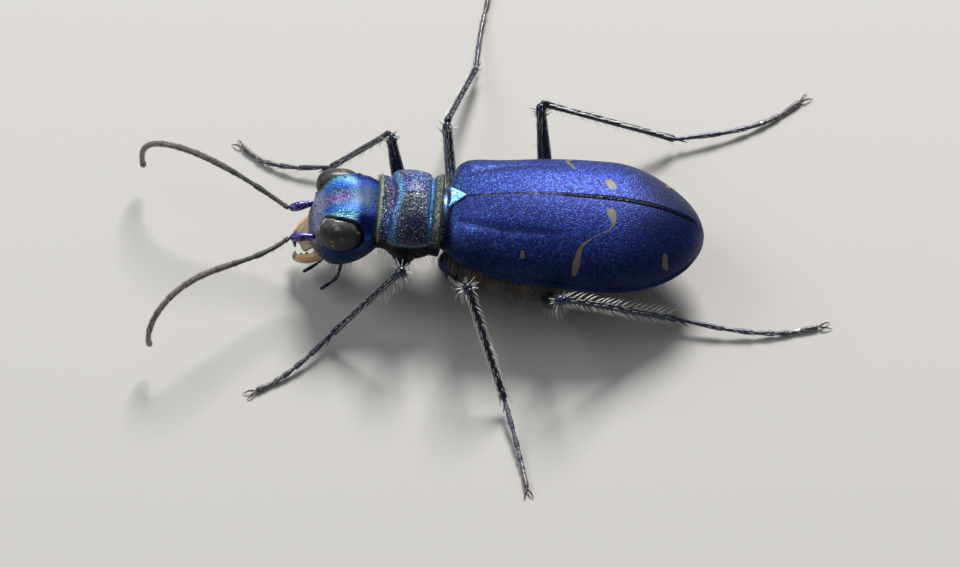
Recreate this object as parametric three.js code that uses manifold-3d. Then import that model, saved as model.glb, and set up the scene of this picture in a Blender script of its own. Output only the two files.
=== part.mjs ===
// A tiger beetle at life size, standing on six spread legs with its feelers held out in front.
// The head points to -X, the beetle's own left side to -Y, and all six feet rest on z = 0.
// Millimetres. The trunk is drawn level, about the highest point of the back, and then tipped
// a little head up; the legs are drawn from their hips down to the floor.
import * as THREE from "three";
import { mergeVertices } from "three/addons/utils/BufferGeometryUtils.js";
import Module from "manifold-3d";

const wasm = await Module();
wasm.setup();

const gap = 0.22; // clearance between neighbouring pieces
const coverGap = 0.28; // clearance between the wing cases and the body under them
const sliver = 0.02; // finest detail that a cut leaves
const backHeight = 3.54; // highest point of the back above the floor
const trunkPitch = 3.1; // degrees that the head end is raised
const footprintCentre = new THREE.Vector3(-3.087, 1.03, 0); // middle of the spread legs and feelers

// Wing cases: the dome over the hind body, measured from the highest point of the back.
const wing = {
  front: -4.15,
  tail: 3.45,
  crest: -0.3,
  top: -0.1,
  widest: 0.5,
  halfWidth: 2.33,
  frontDrop: 0.52,
  tailDrop: 0.62,
  shoulder: 0.45,
  setback: 0.16, // how far the shoulders lie behind the middle of the front edge
  edge: 0.12, // rounding of the front edge
  margin: -1.7,
  marginRise: 0.33,
  tailSag: 0.04,
  roundness: 2.1,
  tailRoundness: 1.8,
  thickness: 0.5,
};

// The prothorax: a front rim, a groove, the swollen disc, a groove and a hind rim.
const collar = [
  { x: -6.3, wide: 1.02, up: 0.39, down: 0.78 },
  { x: -6.24, wide: 1.14, up: 0.47, down: 0.92 },
  { x: -6.12, wide: 1.19, up: 0.54, down: 1.0 },
  { x: -5.94, wide: 1.18, up: 0.52, down: 1.07 },
  { x: -5.78, wide: 1.33, up: 0.71, down: 1.17 },
  { x: -5.45, wide: 1.41, up: 0.8, down: 1.26 },
  { x: -5.05, wide: 1.39, up: 0.8, down: 1.26 },
  { x: -4.78, wide: 1.31, up: 0.74, down: 1.2 },
  { x: -4.67, wide: 1.2, up: 0.63, down: 1.14 },
  { x: -4.54, wide: 1.29, up: 0.72, down: 1.1 },
  { x: -4.39, wide: 1.25, up: 0.69, down: 1.02 },
];
const collarLevel = -1.4; // height of the sharp side edge of the prothorax

// The head looks a little towards the left side. It turns as one about the neck, and the pieces
// below are drawn before that turn.
const neck = { x: -6.4, turn: 5.6 };

// The head, from the neck to the face, with the height of its widest line at each place.
const skull = [
  { x: -6.3, wide: 1.06, level: -1.69, up: 0.69, down: 0.7 },
  { x: -6.48, wide: 1.18, level: -1.72, up: 0.77, down: 0.84 },
  { x: -6.66, wide: 1.22, level: -1.77, up: 0.86, down: 1.02 },
  { x: -6.95, wide: 1.22, level: -1.8, up: 0.96, down: 1.28 },
  { x: -7.35, wide: 1.18, level: -1.85, up: 1.06, down: 1.45 },
  { x: -7.7, wide: 1.1, level: -1.94, up: 1.03, down: 1.34 },
  { x: -7.92, wide: 0.99, level: -2.03, up: 0.88, down: 1.1 },
  { x: -8.1, wide: 0.84, level: -2.14, up: 0.7, down: 0.82 },
  { x: -8.24, wide: 0.64, level: -2.26, up: 0.48, down: 0.54 },
  { x: -8.32, wide: 0.4, level: -2.36, up: 0.28, down: 0.28 },
];
// An eye is squarer above its middle than below: the power of its outline seen from the side.
const eye = {
  centre: [-7.43, 0.93, -1.52],
  radii: [0.66, 0.52, 0.53],
  innerFace: 0.6,
  powerAbove: 3,
  powerBelow: 2,
};
const labrum = { root: [-8.34, 0, -2.3], size: [0.56, 1.16, 0.26], tilt: 50 };
const mandible = {
  path: [[-7.78, 0.74, -2.74], [-8.15, 0.78, -2.94], [-8.47, 0.64, -3.14], [-8.68, 0.24, -3.34]],
  radii: [0.24, 0.24, 0.2, 0.07],
};
const labialPalp = {
  path: [[-7.7, 0.34, -3.08], [-7.98, 0.44, -3.5], [-8.42, 0.64, -3.7]],
  radii: [0.16, 0.15, 0.1],
};
const maxillaryPalp = {
  path: [[-7.26, 0.68, -2.98], [-7.45, 1.04, -3.47], [-7.93, 1.34, -3.64]],
  radii: [0.17, 0.15, 0.1],
};

const scutellum = { front: -4.18, point: -3.74, halfWidth: 0.38, top: -0.55, thickness: 0.5 };

// The body under the wing cases: half width, height of its widest line and of its belly.
const belly = [
  { x: -4.12, wide: 1.15, level: -1.7, down: 0.72 },
  { x: -3.7, wide: 1.45, level: -1.75, down: 0.88 },
  { x: -3.0, wide: 1.68, level: -1.82, down: 0.87 },
  { x: -2.0, wide: 1.82, level: -1.9, down: 0.8 },
  { x: -1.0, wide: 1.82, level: -1.92, down: 0.76 },
  { x: 0.2, wide: 1.86, level: -1.94, down: 0.7 },
  { x: 1.4, wide: 1.72, level: -1.94, down: 0.6 },
  { x: 2.3, wide: 1.38, level: -1.94, down: 0.44 },
  { x: 2.9, wide: 0.95, level: -1.92, down: 0.28 },
  { x: 3.2, wide: 0.55, level: -1.9, down: 0.14 },
];
const waist = -0.75; // place of the joint between the hind thorax and the abdomen

// Feelers: a thick first joint, then a long whip that rises and droops towards its tip.
const feeler = {
  root: [-8.15, 0.66, -2.0],
  scape: 0.77,
  seat: 0.2, // how far ahead of its root the first joint stands clear of the eye
  whip: 6.45,
  scapeRadius: 0.25,
  whipRadii: [0.25, 0.25, 0.12],
  breaks: [0.38, 0.7],
  droopPower: 2.2,
};
const feelerPose = {
  left: { scape: [2.2, -4.5], yaw: [41, 53, -6], lift: [-13, -111, 43] },
  right: { scape: [-12.6, -8.3], yaw: [39, 53, -24], lift: [1, -111, 28] },
};

// Legs: each pair has its own lengths, and each of the six legs its own pose.
const legPair = {
  fore: { coxa: [-5.4, 0.68, -2.04], hip: [-5.4, 1.0, -2.68], femur: 2.45, tibia: 3.24, tarsus: 2.98 },
  mid: { coxa: [-3.95, 0.82, -2.35], hip: [-3.95, 1.1, -2.92], femur: 3.26, tibia: 3.56, tarsus: 3.17 },
  hind: { coxa: [-1.3, 0.98, -2.42], hip: [-1.1, 1.5, -3.12], femur: 3.55, tibia: 4.69, tarsus: 4.32 },
};
const legRadius = { coxa: 0.37, hip: 0.28, femur: 0.29, knee: 0.26, tibia: 0.25, ankle: 0.25, foot: 0.2 };
const femurBow = 0.2; // how far the thigh sags below the straight line between its ends
const ankleHeight = 0.42;
const toeHeight = 0.16;
const tarsusShares = [0.34, 0.2, 0.15, 0.1, 0.21]; // lengths of the five foot joints
const claw = { length: 0.42, radius: 0.1, splay: 24, tipHeight: 0.06 };
// Yaw is measured from the tail towards the beetle's right, in degrees.
const legPose = {
  left_fore: { femur: [-88, 44], tibia: -166, tarsus: [-129, -146] },
  left_mid: { femur: [-74, 42], tibia: -60, tarsus: [-73, -77] },
  left_hind: { femur: [-75.5, 48], tibia: 27, tarsus: [-8, 18] },
  right_fore: { femur: [111, 47], tibia: 159, tarsus: [178, 138] },
  right_mid: { femur: [98, 14], tibia: 78, tarsus: [89, 83] },
  right_hind: { femur: [99, 37], tibia: 10, tarsus: [17, 45] },
};

const finish = {
  wing: new THREE.MeshStandardMaterial({ color: 0x1d2cb4, roughness: 0.35, metalness: 0.75 }),
  disc: new THREE.MeshStandardMaterial({ color: 0x2c4f6e, roughness: 0.35, metalness: 0.8 }),
  head: new THREE.MeshStandardMaterial({ color: 0x1f5fae, roughness: 0.3, metalness: 0.8 }),
  under: new THREE.MeshStandardMaterial({ color: 0x0c2440, roughness: 0.4, metalness: 0.6 }),
  shield: new THREE.MeshStandardMaterial({ color: 0x5aa8e8, roughness: 0.3, metalness: 0.8 }),
  eye: new THREE.MeshStandardMaterial({ color: 0x4a443c, roughness: 0.2, metalness: 0.1 }),
  ivory: new THREE.MeshStandardMaterial({ color: 0xc9a878, roughness: 0.45, metalness: 0 }),
  limb: new THREE.MeshStandardMaterial({ color: 0x11284a, roughness: 0.35, metalness: 0.7 }),
  foot: new THREE.MeshStandardMaterial({ color: 0x3f4f78, roughness: 0.4, metalness: 0.6 }),
  feeler: new THREE.MeshStandardMaterial({ color: 0x55524c, roughness: 0.6, metalness: 0.1 }),
};

const { degToRad, lerp, smoothstep } = THREE.MathUtils;
const vector = (p) => new THREE.Vector3(...p);
const mirrored = (p, side) => new THREE.Vector3(p[0], p[1] * side, p[2]);

function heading(yaw, lift) {
  const flat = Math.cos(degToRad(lift));
  return new THREE.Vector3(
    flat * Math.cos(degToRad(yaw)),
    flat * Math.sin(degToRad(yaw)),
    Math.sin(degToRad(lift)),
  );
}

// Any closed three.js geometry as a solid that can be joined and cut.
function solid(geometry) {
  const plain = geometry.clone();
  plain.deleteAttribute("normal");
  plain.deleteAttribute("uv");
  const merged = mergeVertices(plain, 1e-5);
  return new wasm.Manifold(
    new wasm.Mesh({
      numProp: 3,
      vertProperties: new Float32Array(merged.attributes.position.array),
      triVerts: new Uint32Array(merged.index.array),
    }),
  );
}

// A closed surface through rings of points, with a flat fan of triangles at each end.
function loft(rings) {
  const sides = rings[0].length;
  const points = rings.flat();
  const last = (rings.length - 1) * sides;
  const ends = [rings[0], rings.at(-1)].map((ring) =>
    ring.reduce((sum, p) => sum.add(p), new THREE.Vector3()).divideScalar(sides),
  );
  const faces = [];
  for (let j = 0; j < sides; j++) {
    const k = (j + 1) % sides;
    faces.push(points.length, k, j);
    faces.push(points.length + 1, last + j, last + k);
    for (let i = 0; i < last; i += sides) {
      faces.push(i + j, i + k, i + sides + j);
      faces.push(i + k, i + sides + k, i + sides + j);
    }
  }
  const geometry = new THREE.BufferGeometry().setFromPoints([...points, ...ends]);
  geometry.setIndex(faces);
  return geometry;
}

// A round rod along a smooth path, with radii that blend along it and domed ends.
function rod(path, radii, { sides = 10, steps = 8, grow = 0 } = {}) {
  const curve = new THREE.CatmullRomCurve3(path, false, "centripetal");
  const frames = curve.computeFrenetFrames(steps, false);
  const radiusAt = (t) => {
    const place = t * (radii.length - 1);
    const i = Math.min(Math.floor(place), radii.length - 2);
    return lerp(radii[i], radii[i + 1], place - i) + grow;
  };
  const ring = (t, i, ahead, shrink) => {
    const centre = curve.getPointAt(t).addScaledVector(frames.tangents[i], ahead);
    const radius = radiusAt(t) * shrink;
    return Array.from({ length: sides }, (_, j) => {
      const angle = (2 * Math.PI * j) / sides;
      return centre
        .clone()
        .addScaledVector(frames.normals[i], radius * Math.cos(angle))
        .addScaledVector(frames.binormals[i], radius * Math.sin(angle));
    });
  };
  const rings = [ring(0, 0, -0.75 * radiusAt(0), 0.6)];
  for (let i = 0; i <= steps; i++) rings.push(ring(i / steps, i, 0, 1));
  rings.push(ring(1, steps, 0.75 * radiusAt(1), 0.6));
  return solid(loft(rings));
}

// An upright oval across the body, with its own height above and below its widest line.
function oval({ x, wide, level, up, down }, upper, lower, sides) {
  return Array.from({ length: sides }, (_, j) => {
    const angle = (2 * Math.PI * j) / sides;
    const power = Math.sin(angle) > 0 ? upper : lower;
    const bend = (v) => Math.sign(v) * Math.abs(v) ** (2 / power);
    const height = Math.sin(angle) > 0 ? up : down;
    return new THREE.Vector3(x, wide * bend(Math.cos(angle)), level + height * bend(Math.sin(angle)));
  });
}

function block(lo, hi) {
  const size = vector(hi).sub(vector(lo));
  const box = new THREE.BoxGeometry(size.x, size.y, size.z);
  box.translate(...vector(lo).add(vector(hi)).multiplyScalar(0.5).toArray());
  return solid(box);
}

// Everything ahead of a plane, less half a gap, so that two neighbours keep one gap apart.
function ahead(point, normal) {
  const reach = 12;
  const box = new THREE.BoxGeometry(2 * reach, 2 * reach, reach);
  box.translate(0, 0, reach / 2 - gap / 2);
  const turn = new THREE.Quaternion().setFromUnitVectors(new THREE.Vector3(0, 0, 1), normal);
  box.applyQuaternion(turn);
  box.translate(...point.toArray());
  return solid(box);
}
const behind = (point, normal) => ahead(point, normal.clone().negate());

// The largest closed piece of a cut shape, without the slivers that cuts leave along their edges.
function largest(shape) {
  const pieces = shape.asOriginal().simplify(sliver).decompose();
  return pieces.reduce((best, s) => (s.volume() > best.volume() ? s : best));
}

function place(parent, name, material, shape) {
  const made = shape.getMesh();
  const geometry = new THREE.BufferGeometry();
  geometry.setAttribute("position", new THREE.BufferAttribute(made.vertProperties, 3));
  geometry.setIndex(new THREE.BufferAttribute(made.triVerts, 1));
  geometry.computeVertexNormals();
  const mesh = new THREE.Mesh(geometry, material);
  mesh.name = name;
  parent.add(mesh);
}

const beetle = new THREE.Group();
const standing = new THREE.Group();
standing.position.copy(footprintCentre).negate();
beetle.add(standing);
const trunk = new THREE.Group();
trunk.position.set(0, 0, backHeight);
trunk.rotation.y = degToRad(trunkPitch);
standing.add(trunk);
trunk.updateMatrix();
const toStanding = (p) => p.clone().applyMatrix4(trunk.matrix);
const neckJoint = new THREE.Group();
neckJoint.position.set(neck.x, 0, 0);
neckJoint.rotation.z = degToRad(neck.turn);
trunk.add(neckJoint);
const headAxes = new THREE.Group();
headAxes.position.set(-neck.x, 0, 0);
neckJoint.add(headAxes);
beetle.updateMatrixWorld();
const headMatrix = standing.matrixWorld.clone().invert().multiply(headAxes.matrixWorld);
const fromHead = (p) => p.clone().applyMatrix4(headMatrix);
const toHead = (p) => p.clone().applyMatrix4(headMatrix.clone().invert());

// Wing cases.
const nearTail = (x) => smoothstep(x, 0.8, 2.6);
const wingTop = (x) => {
  if (x > wing.crest) return wing.top - wing.tailDrop * ((x - wing.crest) / (wing.tail - wing.crest)) ** 2;
  return wing.top - wing.frontDrop * ((wing.crest - x) / (wing.crest - wing.front)) ** 2.2;
};
const wingMargin = (x) =>
  wing.margin +
  wing.marginRise * (1 - smoothstep(x, wing.front, wing.front + 2)) -
  wing.tailSag * nearTail(x);
function wingHalfWidth(x) {
  if (x > wing.widest) {
    const share = Math.min(1, (x - wing.widest) / (wing.tail - wing.widest));
    return wing.halfWidth * (1 - share ** 2) ** (1 / 1.7);
  }
  const share = (wing.widest - x) / (wing.widest - wing.front);
  const corner = 1 - Math.min(1, Math.max(0, x - wing.front) / wing.shoulder);
  return wing.halfWidth * (1 - 0.21 * share ** 2) * (1 - 0.13 * corner ** 2);
}

// The dome of the wing cases, drawn in by an inset and carried down by a skirt. Its front edge is
// rounded and runs back a little towards the shoulders.
function dome(inset, skirt, front, arcs, rows, edge = 0) {
  const tail = wing.tail - inset - 0.005;
  const places = edge > 0 ? [front] : [];
  for (let i = 0; i <= rows; i++) {
    places.push(front + edge + (tail - front - edge) * Math.sin((i / rows) * (Math.PI / 2)) ** 1.15);
  }
  const rings = places.map((x) => {
    const rounding = edge * (1 - Math.min(1, (x - front) / Math.max(edge, sliver)));
    const wide = Math.max(0.04, wingHalfWidth(x) - inset - rounding);
    const floor = wingMargin(x) - skirt;
    const rise = Math.max(0.1, wingTop(x) - inset - rounding - wingMargin(x));
    const power = 2 / lerp(wing.roundness, wing.tailRoundness, nearTail(x));
    const setback = wing.setback * (1 - smoothstep(x, wing.front, wing.front + 1.4));
    const arc = Array.from({ length: arcs + 1 }, (_, j) => {
      const angle = (Math.PI * j) / arcs;
      const bend = (v) => Math.sign(v) * Math.abs(v) ** power;
      const y = wide * bend(Math.cos(angle));
      return new THREE.Vector3(x + setback * (y / 2) ** 2, y, wingMargin(x) + rise * bend(Math.sin(angle)));
    });
    arc[0].z = floor;
    arc[arcs].z = floor;
    return arc;
  });
  return solid(loft(rings));
}

function triangle(front, point, halfWidth, bottom, top) {
  const shape = new THREE.Shape([
    new THREE.Vector2(front, -halfWidth),
    new THREE.Vector2(point, 0),
    new THREE.Vector2(front, halfWidth),
  ]);
  const prism = new THREE.ExtrudeGeometry(shape, { depth: top - bottom, bevelEnabled: false });
  prism.translate(0, 0, bottom);
  return solid(prism);
}

function makeWings() {
  const slope = scutellum.halfWidth / (scutellum.point - scutellum.front);
  const notchPoint = scutellum.point + gap * Math.hypot(1, 1 / slope);
  const notchFront = wing.front - 1;
  const notch = triangle(notchFront, notchPoint, slope * (notchPoint - notchFront), -2, 1);
  const shell = dome(0, 0, wing.front, 22, 18, wing.edge)
    .subtract(dome(wing.thickness, 1, wing.front - 0.4, 16, 12))
    .subtract(notch);
  place(trunk, "elytron_left", finish.wing, largest(shell.subtract(block([-9, -gap / 2, -5], [9, 9, 5]))));
  place(trunk, "elytron_right", finish.wing, largest(shell.subtract(block([-9, -9, -5], [9, gap / 2, 5]))));
  const { front, point, halfWidth, top, thickness } = scutellum;
  place(trunk, "scutellum", finish.shield, triangle(front, point, halfWidth, top - thickness, top));
}

// Six legs: a globular coxa in its socket, a thigh, a shin and a foot of five joints with claws.
function makeLeg(name, pairName, side) {
  const pair = legPair[pairName];
  const pose = legPose[name];
  const coxa = toStanding(mirrored(pair.coxa, side));
  const hip = toStanding(mirrored(pair.hip, side));
  const femurWay = heading(...pose.femur);
  const knee = hip.clone().addScaledVector(femurWay, pair.femur);
  const tibiaLift = THREE.MathUtils.radToDeg(Math.asin((ankleHeight - knee.z) / pair.tibia));
  const tibiaWay = heading(pose.tibia, tibiaLift);
  const ankle = knee.clone().addScaledVector(tibiaWay, pair.tibia);
  const footPath = [ankle];
  tarsusShares.forEach((share, i) => {
    const run = tarsusShares.slice(0, i + 1).reduce((sum, s) => sum + s, 0);
    const z = lerp(ankleHeight, toeHeight, Math.min(1, run / 0.79));
    const from = footPath.at(-1);
    const yaw = lerp(pose.tarsus[0], pose.tarsus[1], i / 4);
    const flat = Math.sqrt((pair.tarsus * share) ** 2 - (z - from.z) ** 2);
    footPath.push(heading(yaw, 0).multiplyScalar(flat).add(from).setZ(z));
  });
  const toe = footPath.at(-1);
  const footWay = footPath[1].clone().sub(ankle).normalize();
  const coxaWay = hip.clone().sub(coxa).normalize();
  const bisector = (a, b) => a.clone().add(b).normalize();
  const hipPlane = bisector(coxaWay, femurWay);
  const kneePlane = bisector(femurWay, tibiaWay);
  const anklePlane = bisector(tibiaWay, footWay);

  const leg = new THREE.Group();
  leg.position.copy(hip);
  standing.add(leg);
  const own = (shape) => shape.translate(...hip.clone().negate().toArray());
  const sag = hip.clone().lerp(knee, 0.5).add(new THREE.Vector3(0, 0, -femurBow));
  const r = legRadius;

  const coxaShape = rod([coxa, hip], [r.coxa, r.hip], { steps: 3, sides: 12 });
  place(leg, "coxa_" + name, finish.under, own(largest(coxaShape.subtract(ahead(hip, hipPlane)))));

  const femurShape = rod([hip, sag, knee], [r.hip, r.femur, r.femur, r.knee]);
  const femurCut = femurShape.subtract(behind(hip, hipPlane)).subtract(ahead(knee, kneePlane));
  place(leg, "femur_" + name, finish.limb, own(largest(femurCut)));

  const tibiaShape = rod([knee, ankle], [r.knee, r.tibia, r.ankle], { steps: 6 });
  const tibiaCut = tibiaShape.subtract(behind(knee, kneePlane)).subtract(ahead(ankle, anklePlane));
  place(leg, "tibia_" + name, finish.limb, own(largest(tibiaCut)));

  let footShape = rod(footPath, [r.ankle, r.ankle, r.foot], { sides: 9, steps: 8 });
  for (const turn of [-claw.splay, claw.splay]) {
    const way = heading(pose.tarsus[1] + turn, 0);
    const middle = toe.clone().addScaledVector(way, 0.6 * claw.length).setZ(toeHeight + 0.02);
    const tip = toe.clone().addScaledVector(way, claw.length + r.foot).setZ(claw.tipHeight);
    const root = toe.clone().addScaledVector(way, -0.1);
    const nail = rod([root, middle, tip], [claw.radius, 0.6 * claw.radius, 0.03], { sides: 5, steps: 3 });
    footShape = footShape.add(nail);
  }
  const footCut = largest(footShape.subtract(behind(ankle, anklePlane)));
  const underFloor = block([-20, -20, -3], [20, 20, 0]);
  place(leg, "tarsus_" + name, finish.foot, own(footCut.subtract(underFloor)));
}

// The socket that a coxa leaves in the body, drawn level with the trunk.
function socket(pairName, side) {
  const pair = legPair[pairName];
  const path = [mirrored(pair.coxa, side), mirrored(pair.hip, side)];
  return rod(path, [legRadius.coxa, legRadius.hip], { steps: 3, sides: 12, grow: gap });
}

function makeBody() {
  const rings = belly.map((b) => oval({ ...b, up: wingTop(b.x) - b.level }, 2.1, 1.9, 24));
  const underWings = dome(wing.thickness + coverGap, 0.6, wing.front - 0.4, 16, 12);
  const slabRings = [wing.front - 1, -3.8, -3.4, -3, -2.6, -2.2, 0, 1.6, 2.6, wing.tail + 0.5].map((x) => {
    const top = wingMargin(x) - coverGap;
    return [[3, -5], [3, top], [-3, top], [-3, -5]].map(([y, z]) => new THREE.Vector3(x, y, z));
  });
  const core = solid(loft(rings)).intersect(underWings.add(solid(loft(slabRings))));
  const along = new THREE.Vector3(1, 0, 0);
  const joint = new THREE.Vector3(waist, 0, 0);
  let thorax = core.subtract(ahead(joint, along));
  for (const side of [-1, 1]) thorax = thorax.subtract(socket("mid", side)).subtract(socket("hind", side));
  place(trunk, "pterothorax", finish.under, largest(thorax));
  place(trunk, "abdomen", finish.under, largest(core.subtract(behind(joint, along))));
  let prothorax = solid(loft(collar.map((c) => oval({ ...c, level: collarLevel }, 2.1, 2.6, 24))));
  for (const side of [-1, 1]) prothorax = prothorax.subtract(socket("fore", side));
  place(trunk, "prothorax", finish.disc, largest(prothorax));
}

function eyeBall(side, grow) {
  const [x, y, z] = eye.centre;
  const ball = new THREE.SphereGeometry(1, 18, 12);
  ball.rotateX(Math.PI / 2);
  const points = ball.attributes.position;
  for (let i = 0; i < points.count; i++) {
    const [along, rise] = [points.getX(i), points.getZ(i)];
    const power = rise > 0 ? eye.powerAbove : eye.powerBelow;
    const girth = (Math.abs(along) ** power + Math.abs(rise) ** power) ** (1 / power);
    const swell = girth > 0 ? Math.hypot(along, rise) / girth : 1;
    points.setXYZ(i, along * swell, points.getY(i), rise * swell);
  }
  ball.scale(...eye.radii.map((r) => r + grow));
  ball.translate(x, y * side, z);
  const inner = (eye.innerFace - grow) * side;
  const cut = side > 0 ? block([-12, -3, -6], [0, inner, 3]) : block([-12, inner, -6], [0, 3, 3]);
  return solid(ball).subtract(cut);
}

// A feeler as one path: the first joint, then the whip with its slow turn and its droop.
function feelerPaths(side) {
  const pose = side < 0 ? feelerPose.left : feelerPose.right;
  const scapeWay = heading(180 - side * pose.scape[0], pose.scape[1]);
  const start = fromHead(mirrored(feeler.root, side));
  const root = start.clone().addScaledVector(scapeWay, feeler.seat);
  const joint = start.clone().addScaledVector(scapeWay, feeler.scape);
  const whip = [joint];
  const count = 24;
  for (let i = 0; i < count; i++) {
    const t = (i + 0.5) / count;
    const bow = 4 * t * (1 - t);
    const yaw = lerp(pose.yaw[0], pose.yaw[1], t) + pose.yaw[2] * bow;
    const lift = lerp(pose.lift[0], pose.lift[1], t ** feeler.droopPower) + pose.lift[2] * bow;
    const step = heading(180 - side * yaw, lift).multiplyScalar(feeler.whip / count);
    whip.push(whip.at(-1).clone().add(step));
  }
  return { root, joint, whip, scapeWay };
}

function makeFeeler(name, side) {
  const { root, joint, whip, scapeWay } = feelerPaths(side);
  const whipWay = whip[1].clone().sub(whip[0]).normalize();
  const fold = scapeWay.clone().add(whipWay).normalize();
  const scape = rod([root, joint], [feeler.scapeRadius, feeler.scapeRadius], { steps: 2, sides: 8 });
  place(standing, "antenna_" + name + "_scape", finish.limb, largest(scape.subtract(ahead(joint, fold))));
  const whole = rod(whip, feeler.whipRadii, { sides: 8, steps: 24 }).subtract(behind(joint, fold));
  const stops = [0, ...feeler.breaks, 1];
  const cutAt = (share) => {
    const i = Math.round(share * (whip.length - 1));
    return [whip[i], whip[i + 1].clone().sub(whip[i - 1]).normalize()];
  };
  ["base", "middle", "tip"].forEach((part, i) => {
    let length = whole;
    if (i > 0) length = largest(length.subtract(behind(...cutAt(stops[i]))));
    if (i < 2) length = length.subtract(ahead(...cutAt(stops[i + 1])));
    place(standing, "antenna_" + name + "_" + part, finish.feeler, largest(length));
  });
}

// The upper lip: a small pointed plate that hangs steeply from the front edge of the head.
function lipPlate(grow) {
  const [long, wide, thick] = labrum.size;
  const half = wide / 2 + grow;
  const tip = -long - grow;
  const outline = new THREE.Shape();
  outline.moveTo(grow, -half);
  outline.lineTo(grow, half);
  outline.quadraticCurveTo(0.8 * tip, half, 0.86 * tip, 0.15 * half);
  outline.lineTo(tip, 0);
  outline.lineTo(0.86 * tip, -0.15 * half);
  outline.quadraticCurveTo(0.8 * tip, -half, grow, -half);
  const depth = thick + 2 * grow;
  const plate = new THREE.ExtrudeGeometry(outline, { depth, bevelEnabled: false, curveSegments: 5 });
  plate.translate(0, 0, -depth / 2);
  plate.rotateY(-degToRad(labrum.tilt));
  plate.translate(...labrum.root);
  return solid(plate);
}

function makeHead() {
  const neckPlane = new THREE.Vector3(collar[0].x - gap / 2 - neck.x, 0, 0);
  const backward = new THREE.Vector3(1, 0, 0);
  const unturn = new THREE.Matrix4().makeRotationZ(-degToRad(neck.turn));
  neckPlane.applyMatrix4(unturn).add(new THREE.Vector3(neck.x, 0, 0));
  backward.applyMatrix4(unturn);
  let head = solid(loft(skull.map((s) => oval(s, 3, 2.8, 24)).reverse()))
    .subtract(ahead(neckPlane, backward))
    .subtract(lipPlate(gap));
  for (const [name, side] of [["left", -1], ["right", 1]]) {
    const { root, joint } = feelerPaths(side);
    const seat = [toHead(root), toHead(joint)];
    head = head
      .subtract(eyeBall(side, gap))
      .subtract(rod(seat, [feeler.scapeRadius, feeler.scapeRadius], { steps: 2, sides: 8, grow: gap }));
    place(headAxes, "eye_" + name, finish.eye, eyeBall(side, 0));
    const mouthparts = { mandible, labial_palp: labialPalp, maxillary_palp: maxillaryPalp };
    for (const [part, { path, radii }] of Object.entries(mouthparts)) {
      const line = path.map((p) => mirrored(p, side));
      const material = part === "mandible" ? finish.ivory : finish.limb;
      head = head.subtract(rod(line, radii, { sides: 8, steps: 5, grow: gap }));
      place(headAxes, part + "_" + name, material, rod(line, radii, { sides: 8, steps: 5 }));
    }
  }
  place(headAxes, "head", finish.head, largest(head));
  place(headAxes, "labrum", finish.ivory, lipPlate(0));
}

makeWings();
makeBody();
makeHead();
for (const [name, side] of [["left", -1], ["right", 1]]) {
  makeFeeler(name, side);
  for (const pairName of Object.keys(legPair)) makeLeg(name + "_" + pairName, pairName, side);
}

export default beetle;
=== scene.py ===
# %% [markdown]
# # A blue tiger beetle at life size
# The beetle is 12.5 mm long and stands on six spread legs. The frame below holds its solids, with the
# floor at z = 0, the head towards -X and the beetle's own left side towards -Y. Every piece here is drawn
# in millimetres in the beetle's own axes and then set into that frame, so that it lies where its solid is.

# %% Load the frame
import math
import bpy
import mathutils
import numpy as np
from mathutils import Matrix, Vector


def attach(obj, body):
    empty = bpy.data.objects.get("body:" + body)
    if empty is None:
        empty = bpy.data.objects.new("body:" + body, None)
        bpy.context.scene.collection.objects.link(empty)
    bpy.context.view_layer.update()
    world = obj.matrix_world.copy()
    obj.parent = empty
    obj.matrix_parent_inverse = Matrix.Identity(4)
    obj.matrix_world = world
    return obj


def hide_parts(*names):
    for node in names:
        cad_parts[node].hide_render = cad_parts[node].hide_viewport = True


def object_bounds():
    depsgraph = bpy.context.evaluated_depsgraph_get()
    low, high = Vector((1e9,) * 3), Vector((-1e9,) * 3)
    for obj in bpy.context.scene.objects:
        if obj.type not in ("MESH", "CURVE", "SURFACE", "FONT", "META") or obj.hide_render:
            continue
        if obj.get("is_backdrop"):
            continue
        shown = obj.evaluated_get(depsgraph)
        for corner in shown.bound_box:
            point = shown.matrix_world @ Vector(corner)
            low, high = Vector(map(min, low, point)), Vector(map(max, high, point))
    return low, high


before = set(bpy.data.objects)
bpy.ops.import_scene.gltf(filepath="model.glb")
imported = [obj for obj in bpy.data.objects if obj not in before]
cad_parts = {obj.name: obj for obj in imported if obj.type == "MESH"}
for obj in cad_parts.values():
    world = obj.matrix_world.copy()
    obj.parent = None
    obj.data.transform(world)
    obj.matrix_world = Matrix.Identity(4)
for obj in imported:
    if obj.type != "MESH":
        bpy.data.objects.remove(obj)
solid_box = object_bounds()
print("solids", len(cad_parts), "box", [round(1000 * s, 2) for s in solid_box[1] - solid_box[0]], "mm")

# %% [markdown]
# The trunk of the beetle, from jaws to wing tips, is stiff and tilts a little head up. Its pieces are
# drawn level, measured from the highest point of the back, and one function tips and lifts them. The head
# also looks a little towards the near side. The legs and feelers are drawn upright, measured from the
# floor under the same point of the back.

# %% Axes of the beetle
MM, MICRON = 1e-3, 1e-6
BACK_HEIGHT = 3.54
TRUNK_PITCH = math.radians(3.1)
HEAD_TURN, NECK_X = math.radians(5.6), -6.4
FOOTPRINT_CENTRE = np.array([-3.087, 1.03, 0.0])
SIDES = ((-1, "left"), (1, "right"))
rng = np.random.default_rng(12)


def upright(points):
    """Trunk axes to upright axes, in millimetres."""
    p = np.asarray(points, float)
    x, y, z = p[..., 0], p[..., 1], p[..., 2]
    c, s = math.cos(TRUNK_PITCH), math.sin(TRUNK_PITCH)
    return np.stack([x * c + z * s, y, z * c - x * s + BACK_HEIGHT], -1)


def turned(points):
    """The head turns about the neck, within the trunk axes."""
    p = np.asarray(points, float)
    c, s = math.cos(HEAD_TURN), math.sin(HEAD_TURN)
    x, y = p[..., 0] - NECK_X, p[..., 1]
    return np.stack([NECK_X + x * c - y * s, x * s + y * c, p[..., 2]], -1)


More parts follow.
